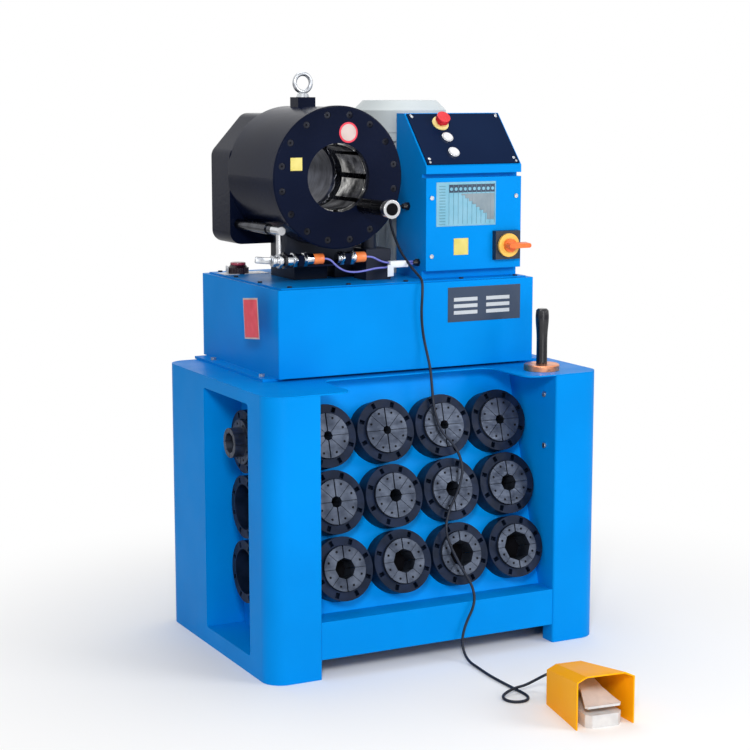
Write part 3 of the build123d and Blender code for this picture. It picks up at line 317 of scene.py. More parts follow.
# %% Helpers for a piece that shows two finishes
def within(finish, axis, middle, reach):
    """One where the place along an axis is within reach of the middle, and else nought."""
    nodes = finish.node_tree.nodes
    links = finish.node_tree.links
    split = nodes.new("ShaderNodeSeparateXYZ")
    links.new(nodes["place"].outputs["Object"], split.inputs["Vector"])
    compare = nodes.new("ShaderNodeMath")
    compare.operation = "COMPARE"
    compare.inputs[1].default_value = middle
    compare.inputs[2].default_value = reach
    links.new(split.outputs[axis], compare.inputs[0])
    return compare.outputs["Value"]


def recolour(finish, where, colour, metallic=0.0):
    """Where the factor is one, the finish takes another colour and another metallic share."""
    nodes = finish.node_tree.nodes
    links = finish.node_tree.links
    shader = nodes["Principled BSDF"]
    mix = nodes.new("ShaderNodeMix")
    mix.data_type = "RGBA"
    links.new(where, mix.inputs["Factor"])
    links.new(shader.inputs["Base Color"].links[0].from_socket, mix.inputs["A"])
    mix.inputs["B"].default_value = (*colour, 1)
    links.new(mix.outputs["Result"], shader.inputs["Base Color"])
    share = nodes.new("ShaderNodeMapRange")
    share.inputs["To Min"].default_value = shader.inputs["Metallic"].default_value
    share.inputs["To Max"].default_value = metallic
    links.new(where, share.inputs["Value"])
    links.new(share.outputs["Result"], shader.inputs["Metallic"])


# %% The finishes that the model's slots name
finishes = {}


def keep(maker, name, *numbers, **options):
    """Makes a finish and keeps it under its name."""
    finishes[name] = maker(name, *numbers, **options)
    return finishes[name]


keep(make_paint, "frame_blue", (0.0, 0.222, 0.66), (0.0, 0.258, 0.75),
     0.34, 520, 0.08, specular=0.035)
keep(make_paint, "panel_navy", (0.003, 0.009, 0.034), (0.005, 0.014, 0.046),
     0.42, 700, 0.06, specular=0.03)
keep(make_paint, "head_black", (0.0018, 0.0036, 0.013), (0.0045, 0.0078, 0.024),
     0.20, 120, 0.25, specular=0.055)
keep(make_metal, "die_steel", (0.022, 0.030, 0.050), (0.070, 0.086, 0.122),
     0.42, 60, (1, 1, 6), 0.7)
keep(make_plastic, "ring_black", (0.003, 0.008, 0.022), (0.008, 0.016, 0.042),
     0.38, specular=0.10)
keep(make_metal, "ground_steel", (0.075, 0.08, 0.095), (0.26, 0.265, 0.285),
     0.24, 40, (1, 6, 1))
keep(make_metal, "zinc_steel", (0.36, 0.38, 0.42), (0.62, 0.64, 0.66), 0.32, 90)
keep(make_metal, "chrome", (0.70, 0.71, 0.73), (0.82, 0.83, 0.84), 0.10, 120, relief=0.02)
keep(make_paint, "valve_grey", (0.006, 0.009, 0.020), (0.022, 0.028, 0.046),
     0.45, 240, 0.2, specular=0.2)
keep(make_paint, "motor_silver", (0.50, 0.55, 0.56), (0.58, 0.63, 0.65), 0.42, 380, 0.12)
keep(make_metal, "copper", (0.62, 0.22, 0.11), (0.85, 0.38, 0.21), 0.34, 50, (1, 1, 4))
keep(make_plastic, "grip_black", (0.004, 0.004, 0.006), (0.008, 0.008, 0.012), 0.16, 90, 0.03)
keep(make_plastic, "cap_black", (0.010, 0.005, 0.010), (0.022, 0.009, 0.016), 0.25, 200, 0.05)
keep(make_plastic, "stop_red", (0.66, 0.020, 0.030), (0.80, 0.040, 0.060), 0.24, 200, 0.03)
keep(make_plastic, "stop_yellow", (0.84, 0.72, 0.24), (0.92, 0.82, 0.36), 0.40, 200, 0.05)
keep(make_plastic, "button_white", (0.70, 0.70, 0.74), (0.80, 0.80, 0.83), 0.28, 200, 0.03)
keep(make_plastic, "isolator_black", (0.005, 0.007, 0.012), (0.012, 0.015, 0.024),
     0.35, specular=0.2)
keep(make_plastic, "isolator_orange", (0.82, 0.13, 0.020), (0.92, 0.19, 0.03), 0.30, 200, 0.05)
keep(make_paint, "pedal_yellow", (1.0, 0.375, 0.002), (1.0, 0.44, 0.006),
     0.42, 260, 0.14, specular=0.06)
keep(make_plastic, "pedal_grey", (0.54, 0.53, 0.53), (0.68, 0.67, 0.66), 0.50, 300, 0.1)
keep(make_plastic, "cable_black", (0.006, 0.009, 0.018), (0.014, 0.019, 0.034),
     0.48, specular=0.25)
keep(make_plastic, "cable_violet", (0.13, 0.14, 0.50), (0.22, 0.24, 0.68), 0.35)

# %% [markdown]
# Some pieces differ from the rest of their slot. The rack's blue is made lighter, painted
# light that stands for the pale floor lighting it from below. The back stop's bar, the
# isolator and the thimble each show two finishes, split at a distance from the front.

# %% Finishes for single pieces
bright_arm = 0.042
yellow_disc = 0.0055
bright_ring = 0.0161
# Painted light: the frame's blue made lighter for the rack, which has the same paint.
rack_lit_finish = keep(make_paint, "rack_blue_painted_light", (0.0, 0.275, 0.83), (0.0, 0.315, 0.92),
                   0.34, 520, 0.08, specular=0.035)
# Painted shade: the bore sleeve's steel is darkened for the shade inside the bore.
sleeve_shaded_finish = keep(make_metal, "sleeve_steel_painted_shade", (0.022, 0.025, 0.040), (0.060, 0.066, 0.090),
                     0.38, 30, (1, 8, 1))
# The shoes' steel is mottled at random from near black to near white: its own uneven tone, with the
# bright patches also painted glints.
shoe_glint_finish = keep(make_metal, "shoe_steel_mottle_and_glints", (0.034, 0.035, 0.038), (0.80, 0.79, 0.76),
                   0.14, 55, (1, 2, 1), relief=0.3)
screw_finish = keep(make_metal, "screw_black", (0.010, 0.011, 0.018), (0.045, 0.048, 0.062),
                    0.14, 260)
barrel_finish = keep(make_metal, "barrel_steel", (0.015, 0.016, 0.020), (0.05, 0.052, 0.06),
                     0.22, 60, (6, 1, 6))
bar_finish = keep(make_metal, "bar_steel", (0.014, 0.016, 0.024), (0.05, 0.055, 0.07),
                  0.22, 60, (6, 1, 6))
bar_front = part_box("stop_bar")[0][1]
arm = within(bar_finish, "Y", bar_front, bright_arm)
recolour(bar_finish, arm, (0.62, 0.63, 0.66), 1.0)
isolator_finish = keep(make_plastic, "isolator_body", (0.006, 0.009, 0.020), (0.012, 0.016, 0.030),
                       0.35)
disc_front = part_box("isolator_plate")[0][1]
disc = within(isolator_finish, "Y", disc_front, yellow_disc)
recolour(isolator_finish, disc, (0.88, 0.52, 0.09))
thimble_finish = keep(make_metal, "thimble_steel", (0.020, 0.022, 0.028), (0.07, 0.075, 0.09),
                      0.20, 60, (6, 1, 6))
ring_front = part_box("adjuster_thimble")[0][1]
ring = within(thimble_finish, "Y", ring_front, bright_ring)
recolour(thimble_finish, ring, (0.80, 0.81, 0.83), 1.0)

# %% Each solid takes the finish of its slot
slot_of = {part["node"]: part["material_slot"] for part in frame["record"]["subparts"]}
for node, solid in frame["nodes"].items():
    solid.data.materials.clear()
    solid.data.materials.append(finishes[slot_of[node]])
for node, finish in (
    ("rack_panel", rack_lit_finish),
    ("stop_bar", bar_finish),
    ("bore_sleeve", sleeve_shaded_finish),
    ("head_screws", screw_finish),
    ("isolator_plate", isolator_finish),
    ("adjuster_thimble", thimble_finish),
    ("adjuster_barrel", barrel_finish),
):
    frame["nodes"][node].data.materials[0] = finish
for number in range(1, 9):
    frame["nodes"][f"shoe_{number}"].data.materials[0] = shoe_glint_finish

# %% The cords take their finishes and stand for their tubes
for cord, colour, node in (
    (foot_cord, "cable_black", "foot_cord"),
    (left_lead, "cable_violet", "sensor_leads"),
    (right_lead, "cable_violet", "sensor_leads"),
):
    cord.data.materials.append(finishes[colour])
    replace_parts(cord, node)


# %% [markdown]
# ## Small pieces
# The pieces below are modelled as by hand: a primitive at its size and place, with a
# bevel where its edge shows. The helpers hold the steps they share.

# %% Helpers for modelling with operators
along_x = (0, math.pi / 2, 0)
along_y = (math.pi / 2, 0, 0)
along_z = (0, 0, 0)


def deselect_all():
    bpy.ops.object.select_all(action="DESELECT")


def settle(piece, name, finish, body="machine"):
    """Puts the place into the mesh, names the piece and fastens it to a body."""
    bpy.context.view_layer.objects.active = piece
    piece.select_set(True)
    bpy.ops.object.transform_apply(location=True, rotation=True, scale=True)
    piece.name = name
    piece.data.name = name
    piece.data.materials.clear()
    piece.data.materials.append(finishes[finish])
    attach(piece, body)
    return piece


def soften(piece, width, segments=2):
    """Rounds all sharp edges with a bevel that is applied at once."""
    bevel = piece.modifiers.new("edge", "BEVEL")
    bevel.width = width
    bevel.segments = segments
    bevel.limit_method = "ANGLE"
    bpy.context.view_layer.objects.active = piece
    bpy.ops.object.modifier_apply(modifier=bevel.name)
    piece.select_set(True)
    bpy.ops.object.shade_smooth_by_angle(angle=math.radians(40))


def add_block(size, place, turn=(0, 0, 0), edge=0.0):
    """A block of a size at a place, with rounded edges if asked."""
    deselect_all()
    bpy.ops.mesh.primitive_cube_add(size=1, location=place, rotation=turn)
    block = bpy.context.object
    block.scale = size
    bpy.ops.object.transform_apply(location=False, rotation=False, scale=True)
    if edge > 0:
        soften(block, edge)
    return block


def add_disc(radius, depth, place, turn=along_y, sides=32, edge=0.0):
    """A short cylinder, by default with its axis along Y."""
    deselect_all()
    bpy.ops.mesh.primitive_cylinder_add(
        vertices=sides, radius=radius, depth=depth, location=place, rotation=turn
    )
    disc = bpy.context.object
    if edge > 0:
        soften(disc, edge)
    return disc


def join_pieces(pieces):
    """Joins pieces into the first of them."""
    deselect_all()
    for piece in pieces:
        piece.select_set(True)
    bpy.context.view_layer.objects.active = pieces[0]
    bpy.ops.object.join()
    return bpy.context.object


def cut_out(piece, cutter):
    """Cuts one shape out of another and removes the cutter."""
    bite = piece.modifiers.new("bite", "BOOLEAN")
    bite.operation = "DIFFERENCE"
    bite.solver = "EXACT"
    bite.use_self = True
    bite.object = cutter
    deselect_all()
    piece.select_set(True)
    bpy.context.view_layer.objects.active = piece
    bpy.ops.object.modifier_apply(modifier=bite.name)
    bpy.data.objects.remove(cutter)


# %% [markdown]
# ### Dowel holes in the dies
# Each jaw of a die set has a dowel hole near its rim. On a face that small a hole is only a
# dot of shade, so a thin dark plug for each jaw is painted shade that stands for it, and is cheap
# to draw.

# %% Finish for painted shade in holes and sockets, and for black inserts and discs
keep(make_plastic, "painted_shade_and_black", (0.002, 0.002, 0.003), (0.004, 0.004, 0.006),
     0.6, specular=0.06)

# %% Painted shade for the dowel holes of the twelve sets on the sloping rack, and their rings' dark discs
rack_lean = math.radians(16.5)
rack_start = Vector((0, front + 0.063, 0.125))
rack_up = Vector((0, math.sin(rack_lean), math.cos(rack_lean)))
rack_out = Vector((0, -math.cos(rack_lean), math.sin(rack_lean)))
off_rack = (math.pi / 2 - rack_lean, 0, 0)
die_pitch = 0.145
first_row = 0.091
die_face = 0.053
jaw_angles = [math.radians(22.5 + 45 * jaw) for jaw in range(8)]
dowel_circle = 0.0405
dowel_radius = 0.0026
dowel_depth = 0.0012
bore_floor_radius = 0.036
floor_depth = 0.0014
floor_lift = 0.0008
dowel_hole_shades = []
ring_dark_discs = []
for row in range(3):
    for column in range(4):
        across = (column - 1.5) * die_pitch
        centre = rack_start + rack_up * (first_row + row * die_pitch) + rack_out * die_face
        for angle in jaw_angles:
            spot = centre + Vector((across + dowel_circle * math.cos(angle), 0, 0))
            spot = spot + rack_up * dowel_circle * math.sin(angle)
            dowel_hole_shades.append(add_disc(dowel_radius, dowel_depth, spot, off_rack, 10))
        bottom = centre + Vector((across, 0, 0)) - rack_out * (die_face - floor_lift)
        ring_dark_discs.append(add_disc(bore_floor_radius, floor_depth, bottom, off_rack, 40))
# The joined dark plugs are painted shade for the dowel holes.
settle(join_pieces(dowel_hole_shades), "front_die_dowel_shade", "painted_shade_and_black")

# %% [markdown]
# A dark disc lies on the pan at the bottom of each storage ring. It shows through the
# wider bores of the dies and in the empty side rings. The ring that holds the side die set
# has none, because at rest the set covers the pan behind it.

# %% The dark discs at the bottom of the storage rings
ring_low, ring_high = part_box("side_rings")
ring_setback = 0.238
ring_radius = 0.070
ring_height = 0.046
ring_pitch = 0.147
side_floor_radius = 0.048
for face_x, inward, rows in ((ring_low[0], 1, (0, 1)), (ring_high[0], -1, (0, 1, 2))):
    for row in rows:
        x = face_x + inward * (ring_height - floor_lift)
        spot = (x, front + ring_setback, ring_low[2] + ring_radius + row * ring_pitch)
        ring_dark_discs.append(add_disc(side_floor_radius, floor_depth, spot, along_x, 40))
settle(join_pieces(ring_dark_discs), "ring_dark_discs", "painted_shade_and_black")

# %% Painted shade for the dowel holes of the set in the left side ring
side_low, side_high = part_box("side_die_set")
side_y = (side_low[1] + side_high[1]) / 2
side_z = (side_low[2] + side_high[2]) / 2
jaw_setback = 0.026
plug_proud = 0.0002
side_x = side_low[0] + jaw_setback - plug_proud
side_circle = 0.0415
plug_depth = 0.0006
side_dowel_hole_shades = []
for angle in jaw_angles:
    spot = (side_x, side_y + side_circle * math.cos(angle), side_z + side_circle * math.sin(angle))
    side_dowel_hole_shades.append(add_disc(dowel_radius, plug_depth, spot, along_x, 10))
# The joined dark plugs are painted shade for the side set's dowel holes.
settle(join_pieces(side_dowel_hole_shades), "side_die_dowel_shade", "painted_shade_and_black", "side_die")

# %% [markdown]
# ### Screws
# The head's front plate is held by sixteen socket screws. The model has their round
# heads; a dark hexagon in each one is painted shade for the socket's recess.

# %% Painted shade in the sockets of the head's screws
screw_count = 16
screw_circle = 0.885 * (plate_high[0] - plate_low[0]) / 2
socket_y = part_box("head_screws")[0][1] - 0.0002
socket_radius = 0.0024
socket_shades = []
for step in range(screw_count):
    angle = math.radians(22.5 * (step + 0.5))
    x = head_x + screw_circle * math.cos(angle)
    z = head_z + screw_circle * math.sin(angle)
    socket_shades.append(add_disc(socket_radius, plug_depth, (x, socket_y, z), sides=6))
# Each dark hexagon is painted shade for a socket's recess.
settle(join_pieces(socket_shades), "head_screw_socket_shade", "painted_shade_and_black")

# %% Small screws of the black control panel
panel_low, panel_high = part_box("control_panel")
panel_slope = math.atan2(panel_high[2] - panel_low[2], panel_high[1] - panel_low[1])
panel_inset = 0.010
panel_bottom = (panel_low[1] + 0.011, panel_low[2] + 0.013)
panel_top = (panel_high[1] - 0.009, panel_high[2] - 0.007)
panel_screws = []
for x in (panel_low[0] + panel_inset, panel_high[0] - panel_inset):
    for y, z in (panel_bottom, panel_top):
        panel_screws.append(add_disc(0.0036, 0.003, (x, y, z), (panel_slope, 0, 0), 16, 0.0006))
settle(join_pieces(panel_screws), "panel_screws", "zinc_steel")

# %% Screws round the tank's lid
lid_low, lid_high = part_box("tank_lid")
lid_top = lid_high[2]
lid_inset = 0.010
left_row, right_row = lid_low[0] + lid_inset, lid_high[0] - lid_inset
front_row, back_row = lid_low[1] + lid_inset, lid_high[1] - lid_inset
spots = []
for share in (0.04, 0.27, 0.50, 0.73, 0.96):
    x = lid_low[0] + (lid_high[0] - lid_low[0]) * share
    spots += [(x, front_row), (x, back_row)]
for share in (0.33, 0.66):
    y = lid_low[1] + (lid_high[1] - lid_low[1]) * share
    spots += [(left_row, y), (right_row, y)]
lid_screws = []
for x, y in spots:
    lid_screws.append(add_disc(0.0055, 0.0032, (x, y, lid_top + 0.0015), along_z, 16, 0.001))
settle(join_pieces(lid_screws), "lid_screws", "valve_grey")

# %% Bolts through the columns' inner walls
column_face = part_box("right_side_shell")[0][0]
column_bolts = []
for side in (-1, 1):
    for height, setback in ((0.569, 0.047), (0.452, 0.044)):
        spot = (side * (column_face - 0.002), front + setback, height)
        column_bolts.append(add_disc(0.0065, 0.005, spot, along_x, 20, 0.0012))
settle(join_pieces(column_bolts), "column_bolts", "zinc_steel")

# %% [markdown]
# ### Plates and stickers
# The machine carries plain stickers and plates. They are thin blocks that lie on the
# sheet, with nothing written on them.

# %% Finishes for stickers and plates
keep(make_plastic, "sticker_yellow", (0.62, 0.52, 0.11), (0.72, 0.62, 0.19), 0.35, 60, 0.02)
keep(make_plastic, "sticker_red", (0.68, 0.02, 0.05), (0.80, 0.05, 0.09), 0.35, 60, 0.02)
keep(make_plastic, "sticker_pale", (0.50, 0.38, 0.35), (0.60, 0.49, 0.46), 0.4, 60, 0.02)
keep(make_plastic, "chart_pale", (0.150, 0.390, 0.520), (0.200, 0.430, 0.560), 0.35, 60, 0.02)
keep(make_plastic, "chart_grey", (0.16, 0.22, 0.26), (0.22, 0.28, 0.32), 0.35, 60, 0.02)
keep(make_plastic, "chart_line", (0.099, 0.277, 0.364), (0.136, 0.330, 0.420), 0.35, 60, 0.02)
keep(make_paint, "plate_dark", (0.012, 0.030, 0.065), (0.024, 0.045, 0.090), 0.35, 300, 0.03)
keep(make_paint, "plate_pale", (0.42, 0.46, 0.50), (0.52, 0.56, 0.60), 0.35, 300, 0.03)

# %% The closing-size chart on the door
door_face = door_low[1]
chart_low = Vector((0.101, 0, 0.942))
chart_high = Vector((0.257, 0, 1.042))
chart_mid = (chart_low + chart_high) / 2
chart_width = chart_high.x - chart_low.x
chart_height = chart_high.z - chart_low.z
sheet_place = (chart_mid.x, door_face - 0.0003, chart_mid.z)
chart_base = add_block((chart_width, 0.0006, chart_height), sheet_place)
settle(chart_base, "chart_sheet", "chart_pale")

# %% The stair of the chart, its rules, its dark heads and their pale rounds
steps = []
step_count = 9
stair_left = chart_low.x + chart_width * 0.42
stair_width = (chart_high.x - chart_width * 0.03 - stair_left) / step_count
stair_top = chart_high.z - chart_height * 0.27
for step in range(step_count):
    drop = chart_height * 0.60 * min(1.0, 0.06 + 0.115 * step + (0.25 if step > 6 else 0))
    x = stair_left + stair_width * (step + 0.5)
    middle = (x, door_face - 0.0008, stair_top - drop / 2)
    steps.append(add_block((stair_width, 0.0004, drop), middle))
settle(join_pieces(steps), "chart_stair", "chart_grey")
rules = []
rule_y = door_face - 0.00075
column_count = 10
column_start = chart_low.x + chart_width * 0.21
column_step = (chart_high.x - column_start - chart_width * 0.02) / column_count
for column in range(column_count + 1):
    x = column_start + column_step * column
    rules.append(add_block((0.0011, 0.0003, chart_height * 0.9), (x, rule_y, chart_mid.z)))
for line in range(14):
    z = chart_low.z + chart_height * (0.05 + 0.066 * line)
    x = chart_low.x + chart_width * 0.10
    rules.append(add_block((chart_width * 0.10, 0.0003, 0.0022), (x, rule_y, z)))
settle(join_pieces(rules), "chart_rules", "chart_line")
heads = []
for column in range(column_count):
    x = column_start + column_step * (column + 0.5)
    z = chart_high.z - chart_height * 0.15
    head_size = (column_step * 0.92, 0.0003, chart_height * 0.18)
    heads.append(add_block(head_size, (x, door_face - 0.0009, z)))
settle(join_pieces(heads), "chart_heads", "plate_dark")
rounds = []
for column in range(column_count):
    x = column_start + column_step * (column + 0.5)
    z = chart_high.z - chart_height * 0.16
    rounds.append(add_disc(column_step * 0.33, 0.0003, (x, door_face - 0.0012, z), sides=20))
settle(join_pieces(rounds), "chart_rounds", "chart_pale")

# %% Blank stickers on the door and the head
sticker_depth = 0.0006
half_sticker = 0.0003
door_sticker = add_block((0.038, sticker_depth, 0.038), (0.166, door_face - half_sticker, 0.895))
settle(door_sticker, "door_sticker", "sticker_yellow")
plate_face = plate_low[1]
left_sticker = add_block((0.028, sticker_depth, 0.028), (-0.2529, plate_face - half_sticker, 1.090))
settle(left_sticker, "head_sticker_left", "sticker_yellow")
round_x, round_z = -0.1274, 1.1566
top_rim = add_disc(0.0225, sticker_depth, (round_x, plate_face - half_sticker, round_z), sides=48)
settle(top_rim, "head_sticker_rim", "sticker_red")
top_disc = add_disc(0.0185, 0.0004, (round_x, plate_face - 0.0008, round_z), sides=48)
settle(top_disc, "head_sticker_disc", "sticker_pale")

# %% The blank nameplate on the tank
name_low = Vector((0.114, 0, 0.727))
name_high = Vector((0.305, 0, 0.806))
name_mid = (name_low + name_high) / 2
tank_face = tank_low[1]
name_size = (name_high.x - name_low.x, 0.0010, name_high.z - name_low.z)
nameplate = add_block(name_size, (name_mid.x, tank_face - 0.0005, name_mid.z))
settle(nameplate, "nameplate", "plate_dark")
field_size = (0.062, 0.0004, 0.0085)
fields = []
for z in (0.778, 0.763, 0.748):
    for x in (0.160, 0.245):
        fields.append(add_block(field_size, (x, tank_face - 0.0012, z)))
settle(join_pieces(fields), "nameplate_fields", "plate_pale")

# %% The red sticker on the tank's left wall, with its pale edge
red_tilt = math.radians(-6)
red_y, red_z = front + 0.261, 0.753
for name, finish, width, height, out in (
    ("red_sticker_edge", "sticker_pale", 0.080, 0.090, 0.00025),
    ("red_sticker", "sticker_red", 0.073, 0.083, 0.00075),
):
    place = (tank_low[0] - out, red_y, red_z)
    sticker = add_block((0.0005, width, height), place, (red_tilt, 0, 0))
    settle(sticker, name, finish)

# %% [markdown]
# ### Fittings
# The pedestal is hollowed by the head's own round. Each proximity sensor is a chromed
# barrel with an orange end, held in its bracket between two lock nuts. The white
# connector joins the sensor leads, and its paper tag hangs in front of it. The thimble
# ends in a dark insert, and the filler cap has a wine-red top and a small tab. The wing
# lever is a hub with one flat blade, and a hydraulic block joins the pedestal's foot to
# the valve block.

# %% The pedestal under the head
pedestal_low, pedestal_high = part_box("pedestal")
pedestal_front = pedestal_low[1]
saddle_place = (head_x, pedestal_front + 0.0225, lid_top + 0.0745)
column_place = (head_x, pedestal_front + 0.1105, lid_top + 0.0525)
saddle = add_block((0.170, 0.045, 0.075), saddle_place, edge=0.002)
column = add_block((0.084, 0.131, 0.105), column_place, edge=0.002)
pedestal = join_pieces([saddle, column])
cut_out(pedestal, add_disc(0.1533, 0.600, (head_x, pedestal_front + 0.100, head_z), sides=96))
settle(pedestal, "head_pedestal", "valve_grey")
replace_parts(pedestal, "pedestal")

# %% The two proximity sensors: chromed barrels, lock nuts and orange ends
keep(make_metal, "sensor_chrome", (0.30, 0.33, 0.38), (0.80, 0.81, 0.82),
     0.14, 150, (1, 6, 6), relief=0.25)
keep(make_plastic, "sensor_orange", (0.66, 0.12, 0.03), (0.84, 0.22, 0.05), 0.32, 200, 0.05)
sensor_y = front + 0.246
sensor_z = 0.879
end_length = 0.0255
barrels = []
nuts = []
ends = []
for start, clamp, end in (
    (head_x - 0.109, head_x - 0.076, head_x - 0.043),
    (head_x + 0.016, head_x + 0.0385, head_x + 0.061),
):
    middle = ((start + end) / 2, sensor_y, sensor_z)
    barrels.append(add_disc(0.0125, end - start, middle, along_x, 40, 0.001))
    for side in (-1, 1):
        nut_place = (clamp + side * 0.0115, sensor_y, sensor_z)
        washer_place = (clamp + side * 0.0162, sensor_y, sensor_z)
        nuts.append(add_disc(0.0172, 0.0075, nut_place, along_x, 6, 0.0008))
        nuts.append(add_disc(0.0160, 0.0016, washer_place, along_x, 32, 0.0003))
    end_place = (end + end_length / 2, sensor_y, sensor_z)
    ends.append(add_disc(0.0118, end_length, end_place, along_x, 40, 0.002))
for pieces, name, finish in (
    (barrels, "sensor_barrels", "sensor_chrome"),
    (nuts, "sensor_nuts", "sensor_chrome"),
    (ends, "sensor_ends", "sensor_orange"),
):
    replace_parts(settle(join_pieces(pieces), name, finish), "sensors")

# %% The wing lever and the washers of its hub
wing_low, wing_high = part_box("wing_lever")
wing_y = front + 0.240
wing_tip = math.radians(6)
hub_place = (wing_high[0] - 0.0050, wing_y, sensor_z)
blade_place = (wing_low[0] + 0.0205, wing_y, sensor_z + 0.0025)
wing_hub = add_disc(0.0130, 0.0095, hub_place, along_x, 40, 0.002)
wing_blade = add_block((0.0385, 0.0062, 0.0145), blade_place, (0, wing_tip, 0), 0.0028)
wing = settle(join_pieces([wing_hub, wing_blade]), "wing", "zinc_steel", "wing")
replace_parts(wing, "wing_lever")
washer_place = (wing_high[0] + 0.0083, wing_y, sensor_z)
stop_place = (wing_high[0] + 0.0208, wing_y, sensor_z)
hub_washer = add_disc(0.0165, 0.0070, washer_place, along_x, 40, 0.0015)
settle(hub_washer, "hub_washer", "zinc_steel")
stop_disc = add_disc(0.0185, 0.0060, stop_place, along_x, 40, 0.0012)
settle(stop_disc, "stop_disc", "grip_black")

# %% The lead connector and its tag
keep(make_plastic, "connector_white", (0.72, 0.76, 0.80), (0.84, 0.87, 0.90), 0.4)
connector = add_block((0.046, 0.016, 0.015), (0.020, front + 0.2465, 0.8590), edge=0.002)
settle(connector, "lead_connector", "connector_white")
tag = add_block((0.0008, 0.022, 0.026), (-0.004, front + 0.236, 0.8455), (0, 0, math.radians(-65)))
settle(tag, "lead_tag", "connector_white")

# %% The thimble's dark end
thimble_low, thimble_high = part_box("adjuster_thimble")
thimble_x = (thimble_low[0] + thimble_high[0]) / 2
thimble_z = (thimble_low[2] + thimble_high[2]) / 2
insert = add_disc(0.0135, 0.002, (thimble_x, thimble_low[1] - 0.0008, thimble_z), edge=0.0006)
settle(insert, "thimble_insert", "painted_shade_and_black", "thimble")

# %% The filler cap's red top, its tab and the pale plate round it
cap_low, cap_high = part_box("filler_cap")
cap_x = (cap_low[0] + cap_high[0]) / 2
cap_y = (cap_low[1] + cap_high[1]) / 2
keep(make_plastic, "cap_red", (0.22, 0.012, 0.035), (0.40, 0.05, 0.09), 0.22, 200, 0.03)
cap_top = add_disc(0.0180, 0.0060, (cap_x, cap_y, cap_high[2] + 0.0028), along_z, 40, 0.0015)
settle(cap_top, "filler_top", "cap_red", "filler")
tab = add_block((0.0014, 0.016, 0.019), (cap_x - 0.0275, cap_y, lid_top + 0.0095), edge=0.0004)
settle(tab, "filler_tab", "zinc_steel")
filler_plate = add_block((0.110, 0.050, 0.0012), (cap_x + 0.012, cap_y, lid_top + 0.0005))
cut_out(filler_plate, add_disc(0.0257, 0.010, (cap_x, cap_y, lid_top), along_z, 48))
settle(filler_plate, "filler_plate", "button_white")

# %% The hydraulic block between the pedestal and the valve block
valve_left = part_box("valve_block")[0][0]
saddle_right = pedestal_high[0]
block_size = (valve_left - saddle_right + 0.060, 0.060, 0.074)
block_x = (valve_left + saddle_right) / 2 + 0.010
block = add_block(block_size, (block_x, pedestal_front + 0.085, lid_top + 0.036), edge=0.002)
settle(block, "hydraulic_block", "valve_grey")

# %% [markdown]
# ## Floor, lamps and view
# A pale floor and a white world keep the picture plain. Camera rays, mirrors and
# glass see white, while the light on the machine stays soft and at a plain level.

# %% Floor
deselect_all()
bpy.ops.mesh.primitive_plane_add(size=30, location=(0, 0, 0))
floor = bpy.context.object
floor.name = "floor"
floor_finish = bpy.data.materials.new("floor")
floor_finish.use_nodes = True
floor_nodes = floor_finish.node_tree.nodes
floor_links = floor_finish.node_tree.links
floor_shader = floor_nodes["Principled BSDF"]
floor_shader.inputs["Base Color"].default_value = (0.93, 0.93, 0.93, 1)
floor_shader.inputs["Roughness"].default_value = 0.9
floor_shader.inputs["Specular IOR Level"].default_value = 0.1
floor.data.materials.append(floor_finish)

# %% Far from the machine the floor is white to the camera, so it meets the world unseen
floor_place = floor_nodes.new("ShaderNodeTexCoord")
distance = floor_nodes.new("ShaderNodeVectorMath")
distance.operation = "LENGTH"
floor_links.new(floor_place.outputs["Object"], distance.inputs[0])
fade = floor_nodes.new("ShaderNodeMapRange")
fade.interpolation_type = "SMOOTHSTEP"
fade.inputs["From Min"].default_value = 0.45
fade.inputs["From Max"].default_value = 1.5
floor_links.new(distance.outputs["Value"], fade.inputs["Value"])
floor_path = floor_nodes.new("ShaderNodeLightPath")
floor_seen = floor_nodes.new("ShaderNodeMath")
floor_seen.operation = "MULTIPLY"
floor_links.new(fade.outputs["Result"], floor_seen.inputs[0])
floor_links.new(floor_path.outputs["Is Camera Ray"], floor_seen.inputs[1])
white = floor_nodes.new("ShaderNodeEmission")
white.inputs["Color"].default_value = (1, 1, 1, 1)
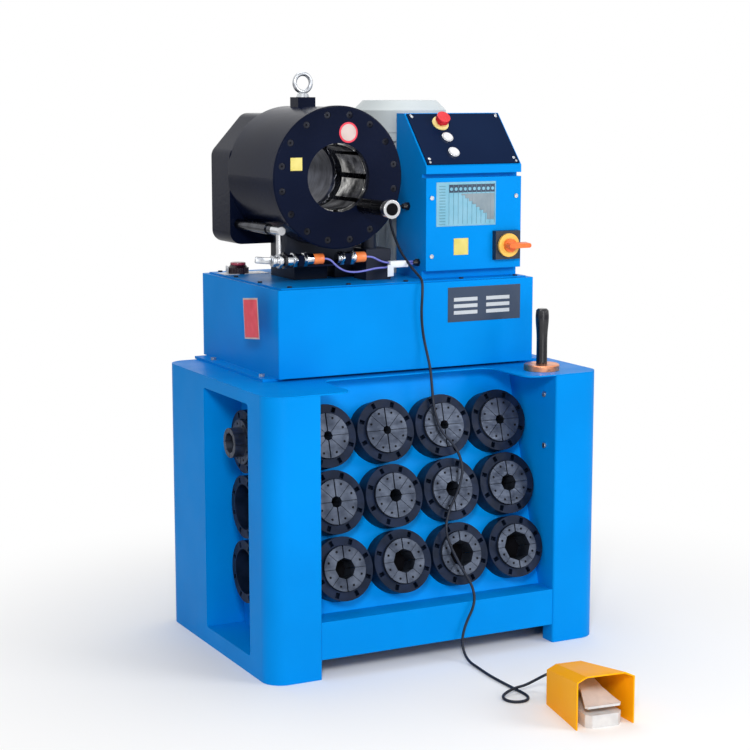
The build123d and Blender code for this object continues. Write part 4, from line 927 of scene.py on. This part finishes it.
blend = floor_nodes.new("ShaderNodeMixShader")
floor_links.new(floor_seen.outputs["Value"], blend.inputs["Fac"])
floor_links.new(floor_shader.outputs["BSDF"], blend.inputs[1])
floor_links.new(white.outputs["Emission"], blend.inputs[2])
floor_links.new(blend.outputs["Shader"], floor_nodes["Material Output"].inputs["Surface"])

# %% World
world = bpy.data.worlds.new("studio")
bpy.context.scene.world = world
world.use_nodes = True
tree = world.node_tree
background = tree.nodes["Background"]
background.inputs["Color"].default_value = (1, 1, 1, 1)
path = tree.nodes.new("ShaderNodeLightPath")
seen = tree.nodes.new("ShaderNodeMath")
seen.operation = "MAXIMUM"
tree.links.new(path.outputs["Is Camera Ray"], seen.inputs[0])
tree.links.new(path.outputs["Is Transmission Ray"], seen.inputs[1])
mirrored = tree.nodes.new("ShaderNodeMath")
mirrored.operation = "MAXIMUM"
tree.links.new(seen.outputs["Value"], mirrored.inputs[0])
tree.links.new(path.outputs["Is Glossy Ray"], mirrored.inputs[1])
level = tree.nodes.new("ShaderNodeMapRange")
level.inputs["To Min"].default_value = 0.42
level.inputs["To Max"].default_value = 1.0
tree.links.new(mirrored.outputs["Value"], level.inputs["Value"])
tree.links.new(level.outputs["Result"], background.inputs["Strength"])


# %% Lamps
def add_lamp(name, place, target, size, power):
    data = bpy.data.lights.new(name, "AREA")
    data.size = size
    data.energy = power
    lamp = bpy.data.objects.new(name, data)
    lamp.location = place
    aim = Vector(target) - Vector(place)
    lamp.rotation_euler = aim.to_track_quat("-Z", "Y").to_euler()
    bpy.context.collection.objects.link(lamp)


machine_middle = (0, 0, 0.7)
add_lamp("key", (-2.2, -3.8, 2.7), machine_middle, 0.9, 112)
add_lamp("fill", (2.8, -3.0, 2.2), machine_middle, 2.0, 70)
add_lamp("top", (0.3, 0.9, 3.6), machine_middle, 2.0, 35)
add_lamp("low", (-0.3, -3.6, 0.7), (0, 0, 0.35), 1.4, 14)

# %% View transform and a last update of the scene
bpy.context.scene.view_settings.view_transform = "Standard"
bpy.context.view_layer.update()
